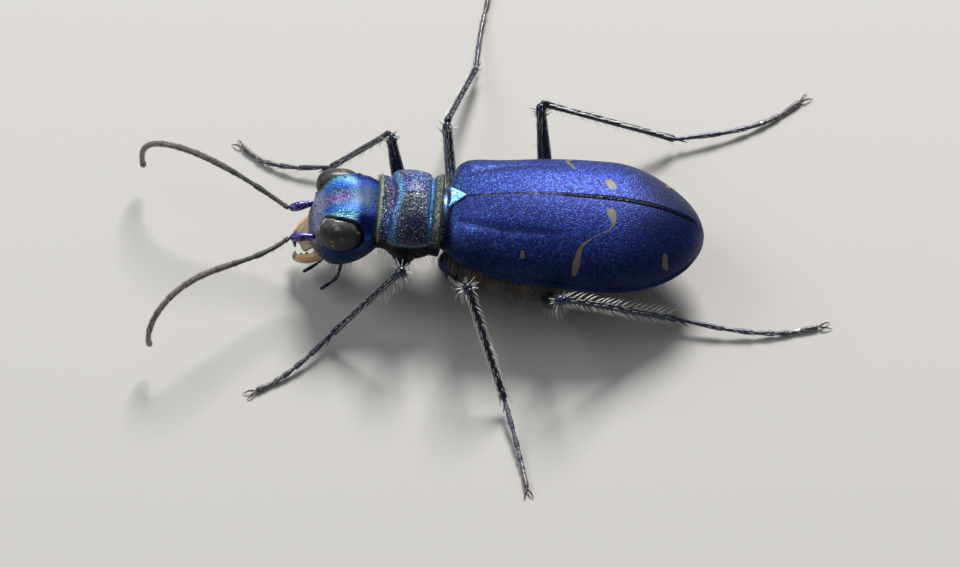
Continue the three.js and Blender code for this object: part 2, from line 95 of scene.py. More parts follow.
def in_frame(points):
    """Upright millimetres to metres in the frame."""
    return (np.asarray(points, float) - FOOTPRINT_CENTRE) * MM


def set_trunk(points):
    return in_frame(upright(points))


def set_head(points):
    return in_frame(upright(turned(points)))


# %% [markdown]
# Nearly every part of an insect is a shell with a smooth outline: it can be drawn as rows of points, like
# the ribs of a boat. A grid of points becomes a mesh of quads, and small relief, such as a groove or a
# ridge, is added along the surface's own normal. This keeps full control of each form with few numbers.

# %% Curves and relief
def smooth(x, low, high):
    """A soft step from 0 at low to 1 at high."""
    t = np.clip((np.asarray(x, float) - low) / (high - low), 0, 1)
    return t * t * (3 - 2 * t)


def bump(distance, width):
    """A soft ridge: 1 where the distance is nothing, and near 0 at twice the width."""
    return np.exp(-((distance / width) ** 2))


def through(stations, values, x):
    """A smooth curve through values that are given at a few stations."""
    s, v = np.asarray(stations, float), np.asarray(values, float)
    slope = np.gradient(v, s)
    i = np.clip(np.searchsorted(s, x) - 1, 0, len(s) - 2)
    h = s[i + 1] - s[i]
    t = np.clip((x - s[i]) / h, 0, 1)
    a, b = 1 - t, t
    return (v[i] * (1 + 2 * t) * a**2 + v[i + 1] * (3 - 2 * t) * b**2
            + h * slope[i] * t * a**2 - h * slope[i + 1] * b**2 * a)


def normals(grid):
    n = np.cross(np.gradient(grid, axis=0), np.gradient(grid, axis=1))
    return n / np.maximum(np.linalg.norm(n, axis=-1, keepdims=True), 1e-12)


def relief(grid, height, inner):
    """The grid with a height added along its normals, which face away from an inner point or points."""
    n = normals(grid)
    outward = np.sign(((grid - inner) * n).sum(-1, keepdims=True))
    return grid + n * outward * height[..., None]


# %% [markdown]
# A grid may be open, like a wing case, or a ring round a limb that is closed by a fan of triangles at
# each end. Masks, such as the place of a pale mark, are kept on the mesh as named values at its points,
# where a material can read them.

# %% Meshes from grids
def faces_of(rows, cols, closed):
    row, col = np.meshgrid(np.arange(rows - 1), np.arange(cols if closed else cols - 1), indexing="ij")
    nxt = (col + 1) % cols
    here, below = row * cols, (row + 1) * cols
    quads = np.stack([here + col, here + nxt, below + nxt, below + col], -1)
    faces = quads.reshape(-1, 4).tolist()
    last, centre = (rows - 1) * cols, rows * cols
    for j in range(cols if closed else 0):
        k = (j + 1) % cols
        faces += [[centre, k, j], [centre + 1, last + j, last + k]]
    return faces


def placed(name, data):
    made = bpy.data.objects.new(name, data)
    bpy.context.scene.collection.objects.link(made)
    return made


def piece(name, points, faces, material, slot, nodes=()):
    """A mesh in the frame that rides on the beetle and stands for its solids."""
    mesh = bpy.data.meshes.new(name)
    mesh.from_pydata(points.tolist(), [], faces)
    mesh.shade_smooth()
    mesh.materials.append(material)
    made = placed(name, mesh)
    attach(made, "root")
    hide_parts(*nodes)
    print(name, len(faces), "faces")
    return made


def shell(name, grids, material, slot, nodes=(), marks=None, closed=False, flip=False):
    """Grids in metres as one piece; each mask has a grid, a row or a number for each of them."""
    points, faces, start = [], [], 0
    values = {mark: [] for mark in marks or {}}
    for index, grid in enumerate(grids):
        rows, cols = grid.shape[:2]
        faces += [[v + start for v in face] for face in faces_of(rows, cols, closed)]
        points += [grid.reshape(-1, 3)] + [grid[:1].mean(1), grid[-1:].mean(1)] * closed
        for mark, kept in values.items():
            value = np.asarray(marks[mark][index], float)
            flat = np.broadcast_to(value[:, None] if value.ndim == 1 else value, (rows, cols)).reshape(-1)
            kept += [flat] + [flat[[0, -1]]] * closed
        start += rows * cols + 2 * closed
    faces = [face[::-1] for face in faces] if flip else faces
    made = piece(name, np.concatenate(points), faces, material, slot, nodes)
    for mark, kept in values.items():
        data = made.data.attributes.new(mark, "FLOAT", "POINT").data
        data.foreach_set("value", np.concatenate(kept).astype(np.float32))
    return made


def thicken(made, thickness):
    """Gives a thin plate its thickness, inward from the surface that was drawn."""
    wall = made.modifiers.new("shell thickness", "SOLIDIFY")
    wall.thickness, wall.offset = thickness * MM, -1.0


# %% [markdown]
# Chitin is a hard, dark skin whose colour comes from thin layers, so it shines like tinted metal. A
# material for it is built from nodes. A few short functions keep those readable: each makes one node and
# gives back its output, colours are given as the eye sees them, from 0 to 255, and a coat of paint is a
# list of layers, each with its mask, how much of that counts, and its colour.

# %% Node helpers
def rgb(red, green, blue):
    """A colour from 0 to 255 in the linear values that a shader takes."""
    seen = (red, green, blue)
    return tuple(((c / 255 + 0.055) / 1.055) ** 2.4 if c > 10 else c / 3295 for c in seen) + (1.0,)


def join(tree, value, socket):
    """Links a node's output to a socket, or sets a number, a colour of four values or one from 0 to 255."""
    if isinstance(value, bpy.types.NodeSocket):
        tree.links.new(value, socket)
    elif isinstance(value, tuple) and len(value) == 3:
        socket.default_value = rgb(*value)
    else:
        socket.default_value = value


def fill(tree, node, inputs):
    for key, value in inputs.items():
        join(tree, value, node.inputs[key.replace("_", " ")])
    return node


def add(tree, kind, settings=None, **inputs):
    made = tree.nodes.new("ShaderNode" + kind)
    for key, value in (settings or {}).items():
        setattr(made, key, value)
    return fill(tree, made, inputs)


def calc(tree, operation, a, b, clamp=False):
    made = add(tree, "Math", {"operation": operation, "use_clamp": clamp})
    join(tree, a, made.inputs[0])
    join(tree, b, made.inputs[1])
    return made.outputs[0]


def times(tree, a, b):
    return calc(tree, "MULTIPLY", a, b)


def mix(tree, factor, a, b):
    made = add(tree, "Mix", {"data_type": "RGBA"})
    for socket, value in ((0, factor), (6, a), (7, b)):
        join(tree, value, made.inputs[socket])
    return made.outputs[2]


def ramp(tree, factor, stops, interpolation="LINEAR"):
    """Colours along a value; each stop is its place and its red, green and blue."""
    made = add(tree, "ValToRGB", Fac=factor)
    made.color_ramp.interpolation = interpolation
    elements = made.color_ramp.elements
    while len(elements) < len(stops):
        elements.new(0.5)
    for element, (place, *colour) in zip(elements, stops):
        element.position, element.color = place, rgb(*colour)
    return made.outputs[0]


def rescale(tree, value, low, high, to_low=0.0, to_high=1.0):
    made = add(tree, "MapRange", {"interpolation_type": "SMOOTHSTEP"}, Value=value, From_Min=low,
               From_Max=high, To_Min=to_low, To_Max=to_high)
    return made.outputs[0]


def between(tree, mask, at_none, at_full):
    return rescale(tree, mask, 0.0, 1.0, at_none, at_full)


def attribute(tree, name):
    return add(tree, "Attribute", {"attribute_name": name}).outputs["Fac"]


def layered(tree, colour, layers):
    """Lays colours over the first one; a mask is a node's output or the name of one on the mesh."""
    for mask, amount, over in layers:
        mask = attribute(tree, mask) if isinstance(mask, str) else mask
        colour = mix(tree, mask if amount == 1 else times(tree, mask, amount), colour, over)
    return colour


# %% Patterns and materials
def clouds(tree, scale, detail, roughness=0.5):
    """Noise from 0 to 1, with its scale in clouds per metre."""
    where = add(tree, "TexCoord").outputs["Object"]
    noise = add(tree, "TexNoise", Vector=where, Scale=scale, Detail=detail, Roughness=roughness)
    return noise.outputs["Fac"]


def cells(tree, scale, disorder):
    """Round cells, with their scale in cells per metre."""
    where = add(tree, "TexCoord").outputs["Object"]
    voronoi = add(tree, "TexVoronoi", {"feature": "F1"}, Vector=where, Scale=scale, Randomness=disorder)
    return voronoi.outputs


def finish(name, **inputs):
    """A material with its Principled shader; plain values are set on the shader's own sockets."""
    material = bpy.data.materials.new(name)
    material.use_nodes = True
    tree = material.node_tree
    return material, tree, fill(tree, tree.nodes["Principled BSDF"], inputs)


def dress(tree, shader, height, strength, depth, **inputs):
    """Feeds a shader, and embosses it with a height that is some thousandths of a millimetre deep."""
    fill(tree, shader, inputs)
    made = add(tree, "Bump", Height=height, Strength=strength, Distance=depth * MICRON)
    tree.links.new(made.outputs["Normal"], shader.inputs["Normal"])


# %% [markdown]
# On the wing cases and the thorax the chitin is grained with tiny beads, about 0.04 mm across, each with a
# slightly different tilt and tint. The beads are a node group: it gives every bead a random tint and a
# domed height, with the seams between beads and soft clouds as further masks, and each material colours
# them in its own way. A second group scatters fine pale dust.

# %% Beads and dust, shared by the shells
def new_group(name, amount, default, outputs):
    tree = bpy.data.node_groups.new(name, "ShaderNodeTree")
    tree.interface.new_socket(amount, in_out="INPUT", socket_type="NodeSocketFloat").default_value = default
    for key in outputs:
        tree.interface.new_socket(key, in_out="OUTPUT", socket_type="NodeSocketFloat")
    return tree, tree.nodes.new("NodeGroupInput").outputs[amount], tree.nodes.new("NodeGroupOutput")


def use_group(tree, group, **inputs):
    made = add(tree, "Group", {"node_tree": group})
    return fill(tree, made, inputs).outputs


beads, per_mm, g_out = new_group("Beaded chitin", "Beads per mm", 24.0, ["Tint", "Height", "Seam", "Cloud"])
bead = cells(beads, times(beads, per_mm, 1000.0), 0.9)
tint = add(beads, "SeparateColor", Color=bead["Color"])
fill(beads, g_out, {"Tint": tint.outputs[0], "Height": rescale(beads, bead["Distance"], 0.0, 0.75, 1.0, 0.0),
                    "Seam": rescale(beads, bead["Distance"], 0.42, 0.72),
                    "Cloud": rescale(beads, clouds(beads, 900.0, 3.0, 0.6), 0.3, 0.7)})

dust, amount, g_out = new_group("Pale dust", "Amount", 0.5, ["Specks"])
fleck = cells(dust, 2600.0, 1.0)
fleck_size = add(dust, "SeparateColor", Color=fleck["Color"])
edge = times(dust, times(dust, calc(dust, "POWER", fleck_size.outputs[1], 9.0), amount), 0.3)
fill(dust, g_out, {"Specks": calc(dust, "LESS_THAN", fleck["Distance"], edge)})
print("node groups", [g.name for g in bpy.data.node_groups])


def beaded(name, beads_per_mm, dust_amount=0.0, **inputs):
    """A finish with its beads and, where it has some, its dust."""
    material, tree, shader = finish(name, **inputs)
    specks = use_group(tree, dust, Amount=dust_amount)["Specks"] if dust_amount else None
    return material, tree, shader, use_group(tree, beads, Beads_per_mm=beads_per_mm), specks


# %% [markdown]
# The camera looks down at 50 degrees, almost square to the beetle's near side, through a long lens. It is
# placed from the point of the back that the view was measured from, and its lens follows from the scale of
# the view: 0.0298 mm in each of the 960 columns.

# %% Camera
VIEW_SIZE = (960, 567)
MM_PER_PIXEL = 0.0298
CAMERA_DISTANCE, FILM_WIDTH = 300.0, 36.0
AZIMUTH, ELEVATION = math.radians(3.4), math.radians(50.0)
BACK_TOP_PIXEL = (590, 194)

to_right = np.array([math.cos(AZIMUTH), math.sin(AZIMUTH), 0.0])
to_camera = np.array([math.sin(AZIMUTH) * math.cos(ELEVATION),
                      -math.cos(AZIMUTH) * math.cos(ELEVATION), math.sin(ELEVATION)])
to_up = np.cross(to_camera, to_right)
aim = np.array([0.0, 0.0, BACK_HEIGHT])
aim = aim + to_right * (VIEW_SIZE[0] / 2 - BACK_TOP_PIXEL[0]) * MM_PER_PIXEL
aim = aim + to_up * (BACK_TOP_PIXEL[1] - VIEW_SIZE[1] / 2) * MM_PER_PIXEL

lens = bpy.data.cameras.new("camera")
lens.sensor_width = FILM_WIDTH
lens.lens = FILM_WIDTH * CAMERA_DISTANCE / (VIEW_SIZE[0] * MM_PER_PIXEL)
lens.clip_start, lens.clip_end = 0.01, 10.0
pose = np.eye(4)
pose[:3] = np.stack([to_right, to_up, to_camera, in_frame(aim + to_camera * CAMERA_DISTANCE)], 1)
camera = placed("camera", lens)
camera.matrix_world = mathutils.Matrix(pose.tolist())
bpy.context.scene.camera = camera
print("lens", round(lens.lens, 1), "mm at", [round(v, 3) for v in pose[:3, 3]])

# %% [markdown]
# Metal-like chitin shows its colour only where it mirrors a light, so the lights matter as much as the
# paint. One soft box stands high behind the beetle, to the right, as the sun does over a basking beetle.
# It lights the back and leaves the near side in shade. Two wide dim ones fill that side and the face, and
# the rest is a pale room.

# %% Floor and lights
LIT_POINT = (-1.5, 0, 2)
FLOOR_REACH = 0.9


def soft_box(name, direction, distance, size, power, colour):
    lamp = bpy.data.lights.new(name, "AREA")
    lamp.shape, lamp.size, lamp.energy, lamp.color = "DISK", size * MM, power, colour
    made = placed(name, lamp)
    way = mathutils.Vector(direction).normalized()
    made.location = mathutils.Vector(in_frame(LIT_POINT)) + way * distance * MM
    made.rotation_euler = way.to_track_quat("Z", "Y").to_euler()


soft_box("key", (0.1, 0.97, 0.88), 300, 110, 1.3, (1.0, 0.98, 0.95))
soft_box("fill", (-0.7, -0.6, 1.0), 350, 260, 0.1, (0.9, 0.94, 1.0))
soft_box("head_side", (-0.95, 0.3, 0.8), 350, 200, 0.34, (0.94, 0.96, 1.0))

room = bpy.data.worlds.new("pale room")
room.use_nodes = True
fill(room.node_tree, room.node_tree.nodes["Background"], {"Color": (0.84, 0.86, 0.9, 1), "Strength": 0.2})
bpy.context.scene.world = room
bpy.context.scene.view_settings.view_transform = "Standard"

floor_material, _, _ = finish("pale floor", Base_Color=(0.52, 0.51, 0.49, 1), Roughness=0.9,
                              Specular_IOR_Level=0.2)
floor_mesh = bpy.data.meshes.new("floor")
corners = [(x * FLOOR_REACH, y * FLOOR_REACH, 0) for x, y in ((-1, -1), (1, -1), (1, 1), (-1, 1))]
floor_mesh.from_pydata(corners, [], [(0, 1, 2, 3)])
floor_mesh.materials.append(floor_material)
placed("floor", floor_mesh)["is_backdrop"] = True

# %% [markdown]
# ## Wing cases
# A beetle's front wings are hard covers that meet in a straight seam over the back. Each is a domed shell:
# rounded at the shoulder, widest a little behind the middle, curved down to a blunt tip, with a raised bead
# along the seam and a rim that turns in under the body. One sheet of points follows that section from the
# seam to the margin and on under it, and a Solidify modifier gives it the thickness of the real shell.

# %% Measures of the wing cases
WING_FRONT, WING_TAIL = -4.15, 3.52
WING_CREST, WING_WIDEST, WING_HALF_WIDTH = -0.3, 0.5, 2.37
CREST_LEVEL, TAIL_DROP, FRONT_DROP = -0.1, 1.0, 0.58
MARGIN_LEVEL, SHOULDER_RISE, TAIL_SAG = -1.7, 0.33, 0.04
SHOULDER_SETBACK, WING_EDGE, RIM_TURN, RIM_DEPTH = 0.16, 0.15, 0.42, 0.1
SEAM_GAP, SEAM_WALL = 0.006, 0.2
TAIL_ROUNDING = 24
SHELL_THICKNESS, WING_INSIDE = 0.09, 0.9


def before_and_behind(x, middle):
    """How far x lies before and behind the middle, each as a share of the way to that end."""
    return (np.clip((middle - x) / (middle - WING_FRONT), 0, None),
            np.clip((x - middle) / (WING_TAIL - middle), 0, None))


def wing_top(x):
    before, behind = before_and_behind(x, WING_CREST)
    return CREST_LEVEL - TAIL_DROP * behind**3.0 - FRONT_DROP * before**2.2


def wing_margin(x):
    return (MARGIN_LEVEL + SHOULDER_RISE * (1 - smooth(x, WING_FRONT, WING_FRONT + 2))
            - TAIL_SAG * smooth(x, 0.8, 2.6))


def wing_half_width(x):
    before, behind = (np.minimum(share, 1) for share in before_and_behind(x, WING_WIDEST))
    corner = 1 - np.clip((x - WING_FRONT) / 0.45, 0, 1)
    tail, front = (1 - behind**2) ** (1 / 1.75), (1 - 0.21 * before**2) * (1 - 0.13 * corner**2)
    return WING_HALF_WIDTH * np.where(x > WING_WIDEST, tail, front)


# %% Sheet of a wing case
def wing_sheet(side):
    """Rows from shoulder to tip, columns from the seam's inner wall over the dome and in under the rim."""
    quarter = np.linspace(0, math.pi / 2, 9)[:-1]
    bent = np.sin(np.linspace(0, math.pi / 2, 236)) ** 1.12
    x = np.concatenate([WING_FRONT + WING_EDGE * (1 - np.cos(quarter)),
                        WING_FRONT + WING_EDGE + (WING_TAIL - WING_FRONT - WING_EDGE) * bent])
    girth = np.concatenate([np.linspace(-0.06, -0.02, 3), np.linspace(0, 1, 112) ** 1.3,
                            np.linspace(1.01, 1.13, 10)])
    x, g = np.meshgrid(x, girth, indexing="ij")
    turn = np.clip(1 - (x - WING_FRONT) / WING_EDGE, 0, 1)
    inset = WING_EDGE * (1 - np.sqrt(1 - turn**2))
    wide, margin = np.maximum(wing_half_width(x) - inset, 0.0), wing_margin(x)
    behind = np.minimum(before_and_behind(x, WING_WIDEST)[1], 1)
    rise = (wing_top(x) - margin - inset) * np.sqrt(1 - 0.9 * behind**TAIL_ROUNDING)
    angle = (1 - np.clip(g, 0, 1)) * math.pi / 2
    roundness = 2 / (2.1 - 0.3 * smooth(x, 0.8, 2.6))
    y = wide * np.cos(angle) ** roundness
    z = margin + rise * np.sin(angle) ** roundness
    x = x + SHOULDER_SETBACK * (y / 2) ** 2 * (1 - smooth(x, WING_FRONT, WING_FRONT + 1.4))
    gap = np.minimum(SEAM_GAP, 0.5 * wide)
    y = gap + y * (1 - gap / np.maximum(wide, 1e-6))
    z = z - SEAM_WALL * np.clip(-g / 0.06, 0, 1) * (1 - smooth(x, 2.9, 3.3))
    under = np.clip((g - 1) / 0.13, 0, 1)
    y = y - np.minimum(RIM_TURN, 0.8 * wide) * under**1.3
    z = z - RIM_DEPTH * np.sin(under * math.pi * 0.6) * np.minimum(wide / 0.5, 1)
    return np.stack([x, side * y, z], -1), np.clip(g, 0, 1)


# %% [markdown]
# The marks of this blue form are small and thin: a dot behind the shoulder, a middle band that runs in from
# the side as a bar, thins to a thread and ends in a drop near the seam, and a dash before the tip. The two
# wing cases differ a little, as on the real one. Each mark is a chain of round dots of changing radius, in
# millimetres along the back and in shares of the way round from the seam to the margin.

# %% Marks of the wing cases
SHOULDER_DOT = [(-1.87, 0.65, 0.07), (-1.86, 0.69, 0.09)]
MARKS = {
    -1: [SHOULDER_DOT,
         [(-0.29, 0.81, 0.08), (-0.25, 0.72, 0.13), (-0.2, 0.6, 0.09), (-0.12, 0.53, 0.05),
          (0.2, 0.435, 0.03), (0.6, 0.365, 0.03), (0.77, 0.30, 0.05), (0.74, 0.22, 0.12),
          (0.67, 0.165, 0.15)],
         [(2.38, 0.62, 0.09), (2.41, 0.76, 0.11)]],
    1: [SHOULDER_DOT,
        [(-0.6, 0.8, 0.10), (-0.68, 0.66, 0.11), (-0.73, 0.537, 0.07), (-0.49, 0.383, 0.05)],
        [(0.56, 0.21, 0.15), (0.65, 0.15, 0.14)],
        [(2.3, 0.5, 0.07), (2.38, 0.68, 0.09)]],
}
FAR_AWAY = 9.0


def chain_distance(x, s, chain):
    """How far each point lies outside a chain of dots; negative inside."""
    best = np.full(x.shape, FAR_AWAY)
    for (x0, s0, r0), (x1, s1, r1) in zip(chain, chain[1:]):
        dx, ds = x1 - x0, s1 - s0
        t = np.clip(((x - x0) * dx + (s - s0) * ds) / (dx * dx + ds * ds), 0, 1)
        best = np.minimum(best, np.hypot(x - x0 - t * dx, s - s0 - t * ds) - (r0 + t * (r1 - r0)))
    return best


# %% Relief and masks of the wing cases
def wing_marks(grid, girth, side):
    x, on_dome = grid[..., 0], (girth > 0) * (girth < 1)
    step = np.linalg.norm(np.diff(grid, axis=1), axis=-1) * (girth[:, 1:] > 0) * (girth[:, :-1] < 1)
    around = np.concatenate([np.zeros((len(x), 1)), np.cumsum(step, 1)], 1)
    full = around[:, -1:]
    rows = np.argsort(x[:, 0])
    pale = np.full(x.shape, FAR_AWAY)
    for chain in MARKS[side]:
        at = [(cx, share * np.interp(cx, x[rows, 0], full[rows, 0]), r) for cx, share, r in chain]
        pale = np.minimum(pale, chain_distance(x, around, at))
    groove_at = np.interp(x, [-3.95, -2.6, -0.8], [0.417, 0.442, 0.438]) * full
    groove = bump(around - groove_at, 0.15) * smooth(x, -4.05, -3.7) * (1 - smooth(x, -1.6, -0.4))
    seam_width = 0.013 + 0.013 * smooth(x, -1.8, 0.8)
    seam_groove = bump(around - 2.0 * seam_width, seam_width) * smooth(x, -2.2, 0.2)
    from_rim = around - full
    height = (0.02 * bump(around, seam_width) - 0.025 * seam_groove - 0.035 * groove
              + 0.035 * bump(from_rim + 0.05, 0.05) - 0.02 * bump(from_rim + 0.17, 0.07)
              + 0.07 * bump(np.hypot(x + 3.55, (around - 0.62 * full) * 0.9), 0.5))
    height = height * on_dome * smooth(x, WING_FRONT, WING_FRONT + 0.3) * (1 - smooth(x, 3.0, 3.35))
    masks = {
        "ivory": smooth(-pale, -0.02, 0.05),
        # the seam line: its bead colour, with painted shade of the gap between the wing cases
        "seam": bump(around, 1.1 * seam_width),
        # the grooves, darkened in the finish as painted shade
        "groove": np.maximum(0.4 * groove, 0.9 * seam_groove),
        "rim": bump(from_rim + 0.03, 0.07),
        "shoulder": 1 - smooth(x, -4.1, -2.2),
        "girth": around / np.maximum(full, 1e-6),
        "tail": smooth(x, 0.2, 2.6),
        # painted shade on the near wing case beside the seam
        "painted_shade_near_seam": (side < 0) * (1 - smooth(girth, 0.08, 0.45)) * (girth > 0),
        # greys the tail of the far wing case
        "greyer_far_tail": smooth(x, 0.8, 2.6) * (side > 0) * (girth > 0),
    }
    return height, {mark: [value] for mark, value in masks.items()}


# %% [markdown]
# The finish starts as violet-blue beads, with cyan ones in clouds at the shoulders. Several layers over it
# are
# painted shade: they darken the wing cases towards the seam, the near one more, and the flanks, the tail,
# the grooves and the seams between the beads. One greys the tail of the far wing case. The last layers
# colour the bead along the seam, whose dark line is painted shade of the gap between the wing cases, and
# the rim, and lay the ivory marks and a few pale specks on top. Marks and specks aren't metallic.

# %% Finish of the wing cases
wing_finish, tree, shader, grain, specks = beaded("violet-blue wing case", 20, 0.2, Coat_Weight=0.06,
                                                  Coat_Roughness=0.4)
violet_beads = ramp(tree, grain["Tint"], [(0.0, 16, 25, 90), (0.3, 30, 46, 136), (0.6, 39, 61, 155),
                                          (0.82, 56, 78, 170), (0.94, 42, 94, 164), (1.0, 86, 116, 184)])
cyan_beads = ramp(tree, grain["Tint"], [(0.0, 15, 36, 96), (0.35, 31, 65, 138), (0.65, 38, 88, 152),
                                        (0.88, 56, 112, 150), (1.0, 108, 146, 160)])
seam_beads = ramp(tree, grain["Tint"], [(0.0, 16, 18, 30), (0.6, 44, 50, 62), (1.0, 150, 148, 116)])
bone = ramp(tree, grain["Cloud"], [(0.0, 76, 70, 56), (1.0, 102, 94, 75)])
girth = attribute(tree, "girth")
pale = calc(tree, "ADD", attribute(tree, "ivory"), times(tree, grain["Tint"], 0.12))
pale = rescale(tree, pale, 0.42, 0.66)
colour = layered(tree, violet_beads, [
    (times(tree, attribute(tree, "shoulder"), grain["Cloud"]), 0.8, cyan_beads),
    # painted shade: darker towards the seam
    (rescale(tree, girth, 0.0, 0.5, 0.3, 0.1), 1, (8, 28, 84)),
    # painted shade: the near wing case darker beside the seam
    ("painted_shade_near_seam", 0.42, (8, 22, 76)),
    # painted shade: darker flanks
    (rescale(tree, girth, 0.4, 0.9), 0.8, (6, 15, 56)),
    # painted shade: darker towards the tail
    ("tail", 0.62, (11, 19, 68)),
    # greyer tail on the far wing case
    ("greyer_far_tail", 0.4, (54, 58, 74)),
    # painted shade in the seams between the beads
    (grain["Seam"], 0.65, (6, 10, 46)),
    # painted shade in the grooves
    ("groove", 1, (6, 8, 40)),
    # bead colour along the seam, with painted shade of the gap, darker towards the tail
    ("seam", 1, mix(tree, attribute(tree, "tail"), seam_beads, (18, 26, 60))),
    ("rim", 0.7, (8, 56, 92)),
    (pale, 1, bone),
    (specks, 1, (216, 218, 226)),
])
raised = times(tree, grain["Height"], calc(tree, "SUBTRACT", 1.0, pale))
dress(tree, shader, raised, 0.6, 10, Base_Color=colour,
      Metallic=between(tree, calc(tree, "MAXIMUM", pale, specks), 0.8, 0.0),
      Roughness=between(tree, grain["Tint"], 0.56, 0.44))

for side, word in SIDES:
    grid, girth = wing_sheet(side)
    inner = grid * [1, 0, 1] + np.array([0, side, -1]) * WING_INSIDE
    height, masks = wing_marks(grid, girth, side)
    grid = relief(grid, height, inner)
    wing = shell("wing_case_" + word, [set_trunk(grid)], wing_finish, "wing_case", ["elytron_" + word],
                 masks, flip=side > 0)
    thicken(wing, SHELL_THICKNESS)

# %% [markdown]
# The scutellum is the small plate that locks the two wing cases at their front. It is a triangle with a
# slightly domed face, and on this beetle it is the brightest spot, a clear cyan. It is drawn as a grid
# whose rows shrink to the point.

# %% Scutellum
PLATE_FRONT, PLATE_LENGTH, PLATE_HALF_WIDTH = -4.13, 0.46, 0.4
PLATE_LIFT, PLATE_THICKNESS = 0.05, 0.15

scutellum_finish, tree, shader, grain, _ = beaded("cyan scutellum", 22, Metallic=0.65, Roughness=0.36,
                                                  Coat_Weight=0.2)
cyan = ramp(tree, grain["Tint"], [(0.0, 56, 134, 240), (0.5, 104, 184, 255), (1.0, 176, 220, 255)])
dress(tree, shader, grain["Height"], 0.8, 10,
      # the seams between the beads carry painted shade
      Base_Color=layered(tree, cyan, [(grain["Seam"], 0.3, (30, 70, 150))]))

u, v = np.meshgrid(np.linspace(0, 1, 24), np.linspace(-1, 1, 31), indexing="ij")
half = PLATE_HALF_WIDTH * (1 - u) ** 0.9 + 0.012
dome = 0.06 * (1 - v**2) * (1 - u) ** 0.5
edge_drop = 0.1 * smooth(np.abs(v), 0.86, 1.0)
plate_x = PLATE_FRONT + PLATE_LENGTH * u
plate = np.stack([plate_x, half * v, wing_top(plate_x) + PLATE_LIFT + dome - edge_drop], -1)
scutellum = shell("scutellum_plate", [set_trunk(plate)], scutellum_finish, "scutellum", ["scutellum"],
                  flip=True)
thicken(scutellum, PLATE_THICKNESS)

# %% [markdown]
# ## Thorax
# The first ring of the thorax is one drum of chitin between head and wing cases. Two furrows run round
# its back, one curved behind the front rim and one straight before the hind rim, and a fine line joins
# them down the middle. Its sides end in a sharp edge. A ring drawn at a few stations, with a smooth curve
# through them, gives the drum, and the furrows are pressed in along its normals.

# %% Rings through stations
def rings(stations, rows, columns, up_power, down_power):
    """Oval rings across the body and the level of their widest line; a higher power is squarer."""
    x = np.linspace(stations[0, 0], stations[-1, 0], rows)
    known = stations[np.argsort(stations[:, 0])]
    wide, level, up, down = (through(known[:, 0], known[:, k], x).round(9)[:, None] for k in (1, 2, 3, 4))
    a = np.linspace(-math.pi, math.pi, columns, endpoint=False)[None, :]
    power = np.where(np.sin(a) > 0, 2 / up_power, 2 / down_power)
    reach = np.where(np.sin(a) > 0, up, down)
    y = wide * np.sign(np.cos(a)) * np.abs(np.cos(a)) ** power
    z = level + reach * np.sign(np.sin(a)) * np.abs(np.sin(a)) ** power
    return np.stack([np.broadcast_to(x[:, None], y.shape), y, z], -1), level


# %% Drum of the thorax
DRUM_LEVEL = -1.4
DRUM = np.array([
    # x, half width, height above and depth below the level of the side edge
    (-6.30, 1.00, 0.38, 0.78), (-6.24, 1.14, 0.47, 0.92), (-6.12, 1.19, 0.54, 1.00),
    (-5.98, 1.22, 0.59, 1.06), (-5.82, 1.33, 0.71, 1.16), (-5.45, 1.41, 0.80, 1.26),
    (-5.05, 1.39, 0.80, 1.26), (-4.80, 1.32, 0.75, 1.20), (-4.66, 1.26, 0.70, 1.14),
    (-4.52, 1.30, 0.73, 1.10), (-4.38, 1.26, 0.70, 1.02), (-4.33, 1.14, 0.60, 0.90)])

drum, _ = rings(np.insert(DRUM, 2, DRUM_LEVEL, axis=1), 150, 220, 2.1, 2.6)
along, across, high = drum[..., 0], drum[..., 1], drum[..., 2] - DRUM_LEVEL
above = smooth(high, -0.05, 0.3)
bow = 0.15 * (1 - smooth(np.abs(across), 0.0, 1.05))
middle_line = bump(across, 0.035) * smooth(along, -5.6, -5.4) * (1 - smooth(along, -4.85, -4.72)) * above
cross_folds = bump(np.abs(across) - 0.62, 0.2) * bump(along + 5.25, 0.2) * above
side_edge = bump(high, 0.05) * smooth(along, -6.0, -5.8) * (1 - smooth(along, -4.75, -4.6))
rims = bump(along + 6.2, 0.05) + bump(along + 4.4, 0.05)
side_dent = bump(high + 0.45, 0.25) * bump(along + 5.2, 0.5) * (high < 0)
furrows = 0.085 * bump(along + 5.98 - bow, 0.075) * above + 0.075 * bump(along + 4.67, 0.06) * above
height = (0.035 * rims - furrows - 0.03 * middle_line + 0.02 * cross_folds + 0.035 * side_edge
          - 0.04 * side_dent)
drum = relief(drum, height, np.array([-5.3, 0, DRUM_LEVEL]))
high = drum[..., 2] - DRUM_LEVEL
drum_masks = {
    "front_furrow": bump(along + 5.95 - bow, 0.11) * above,
    "furrow_wall": bump(along + 5.76 - bow, 0.08) * above,
    "hind_furrow": bump(along + 4.70, 0.07) * above,
    "far_from_middle": smooth(np.abs(across), 0.1, 1.1),
    # painted sheen: more blue on the far side, where the light falls
    "far_side": 0.45 * smooth(across, -0.1, 0.7),
    # painted shade: a dark spot on the near side of the drum
    "painted_shade_spot": bump(np.hypot((along + 5.15) / 0.5, (across + 0.95) / 0.3), 1.0) * above,
    "hind_rim": smooth(along, -4.62, -4.56) * above,
    "front_rim": (1 - smooth(along, -6.2, -6.13)) * smooth(high, -0.3, 0.0),
    "edge": side_edge,
    # the underside, darkened in the finish as painted shade
    "under": 1 - smooth(high, -0.25, 0.05),
    "back_rim": smooth(along, -4.42, -4.38),
}

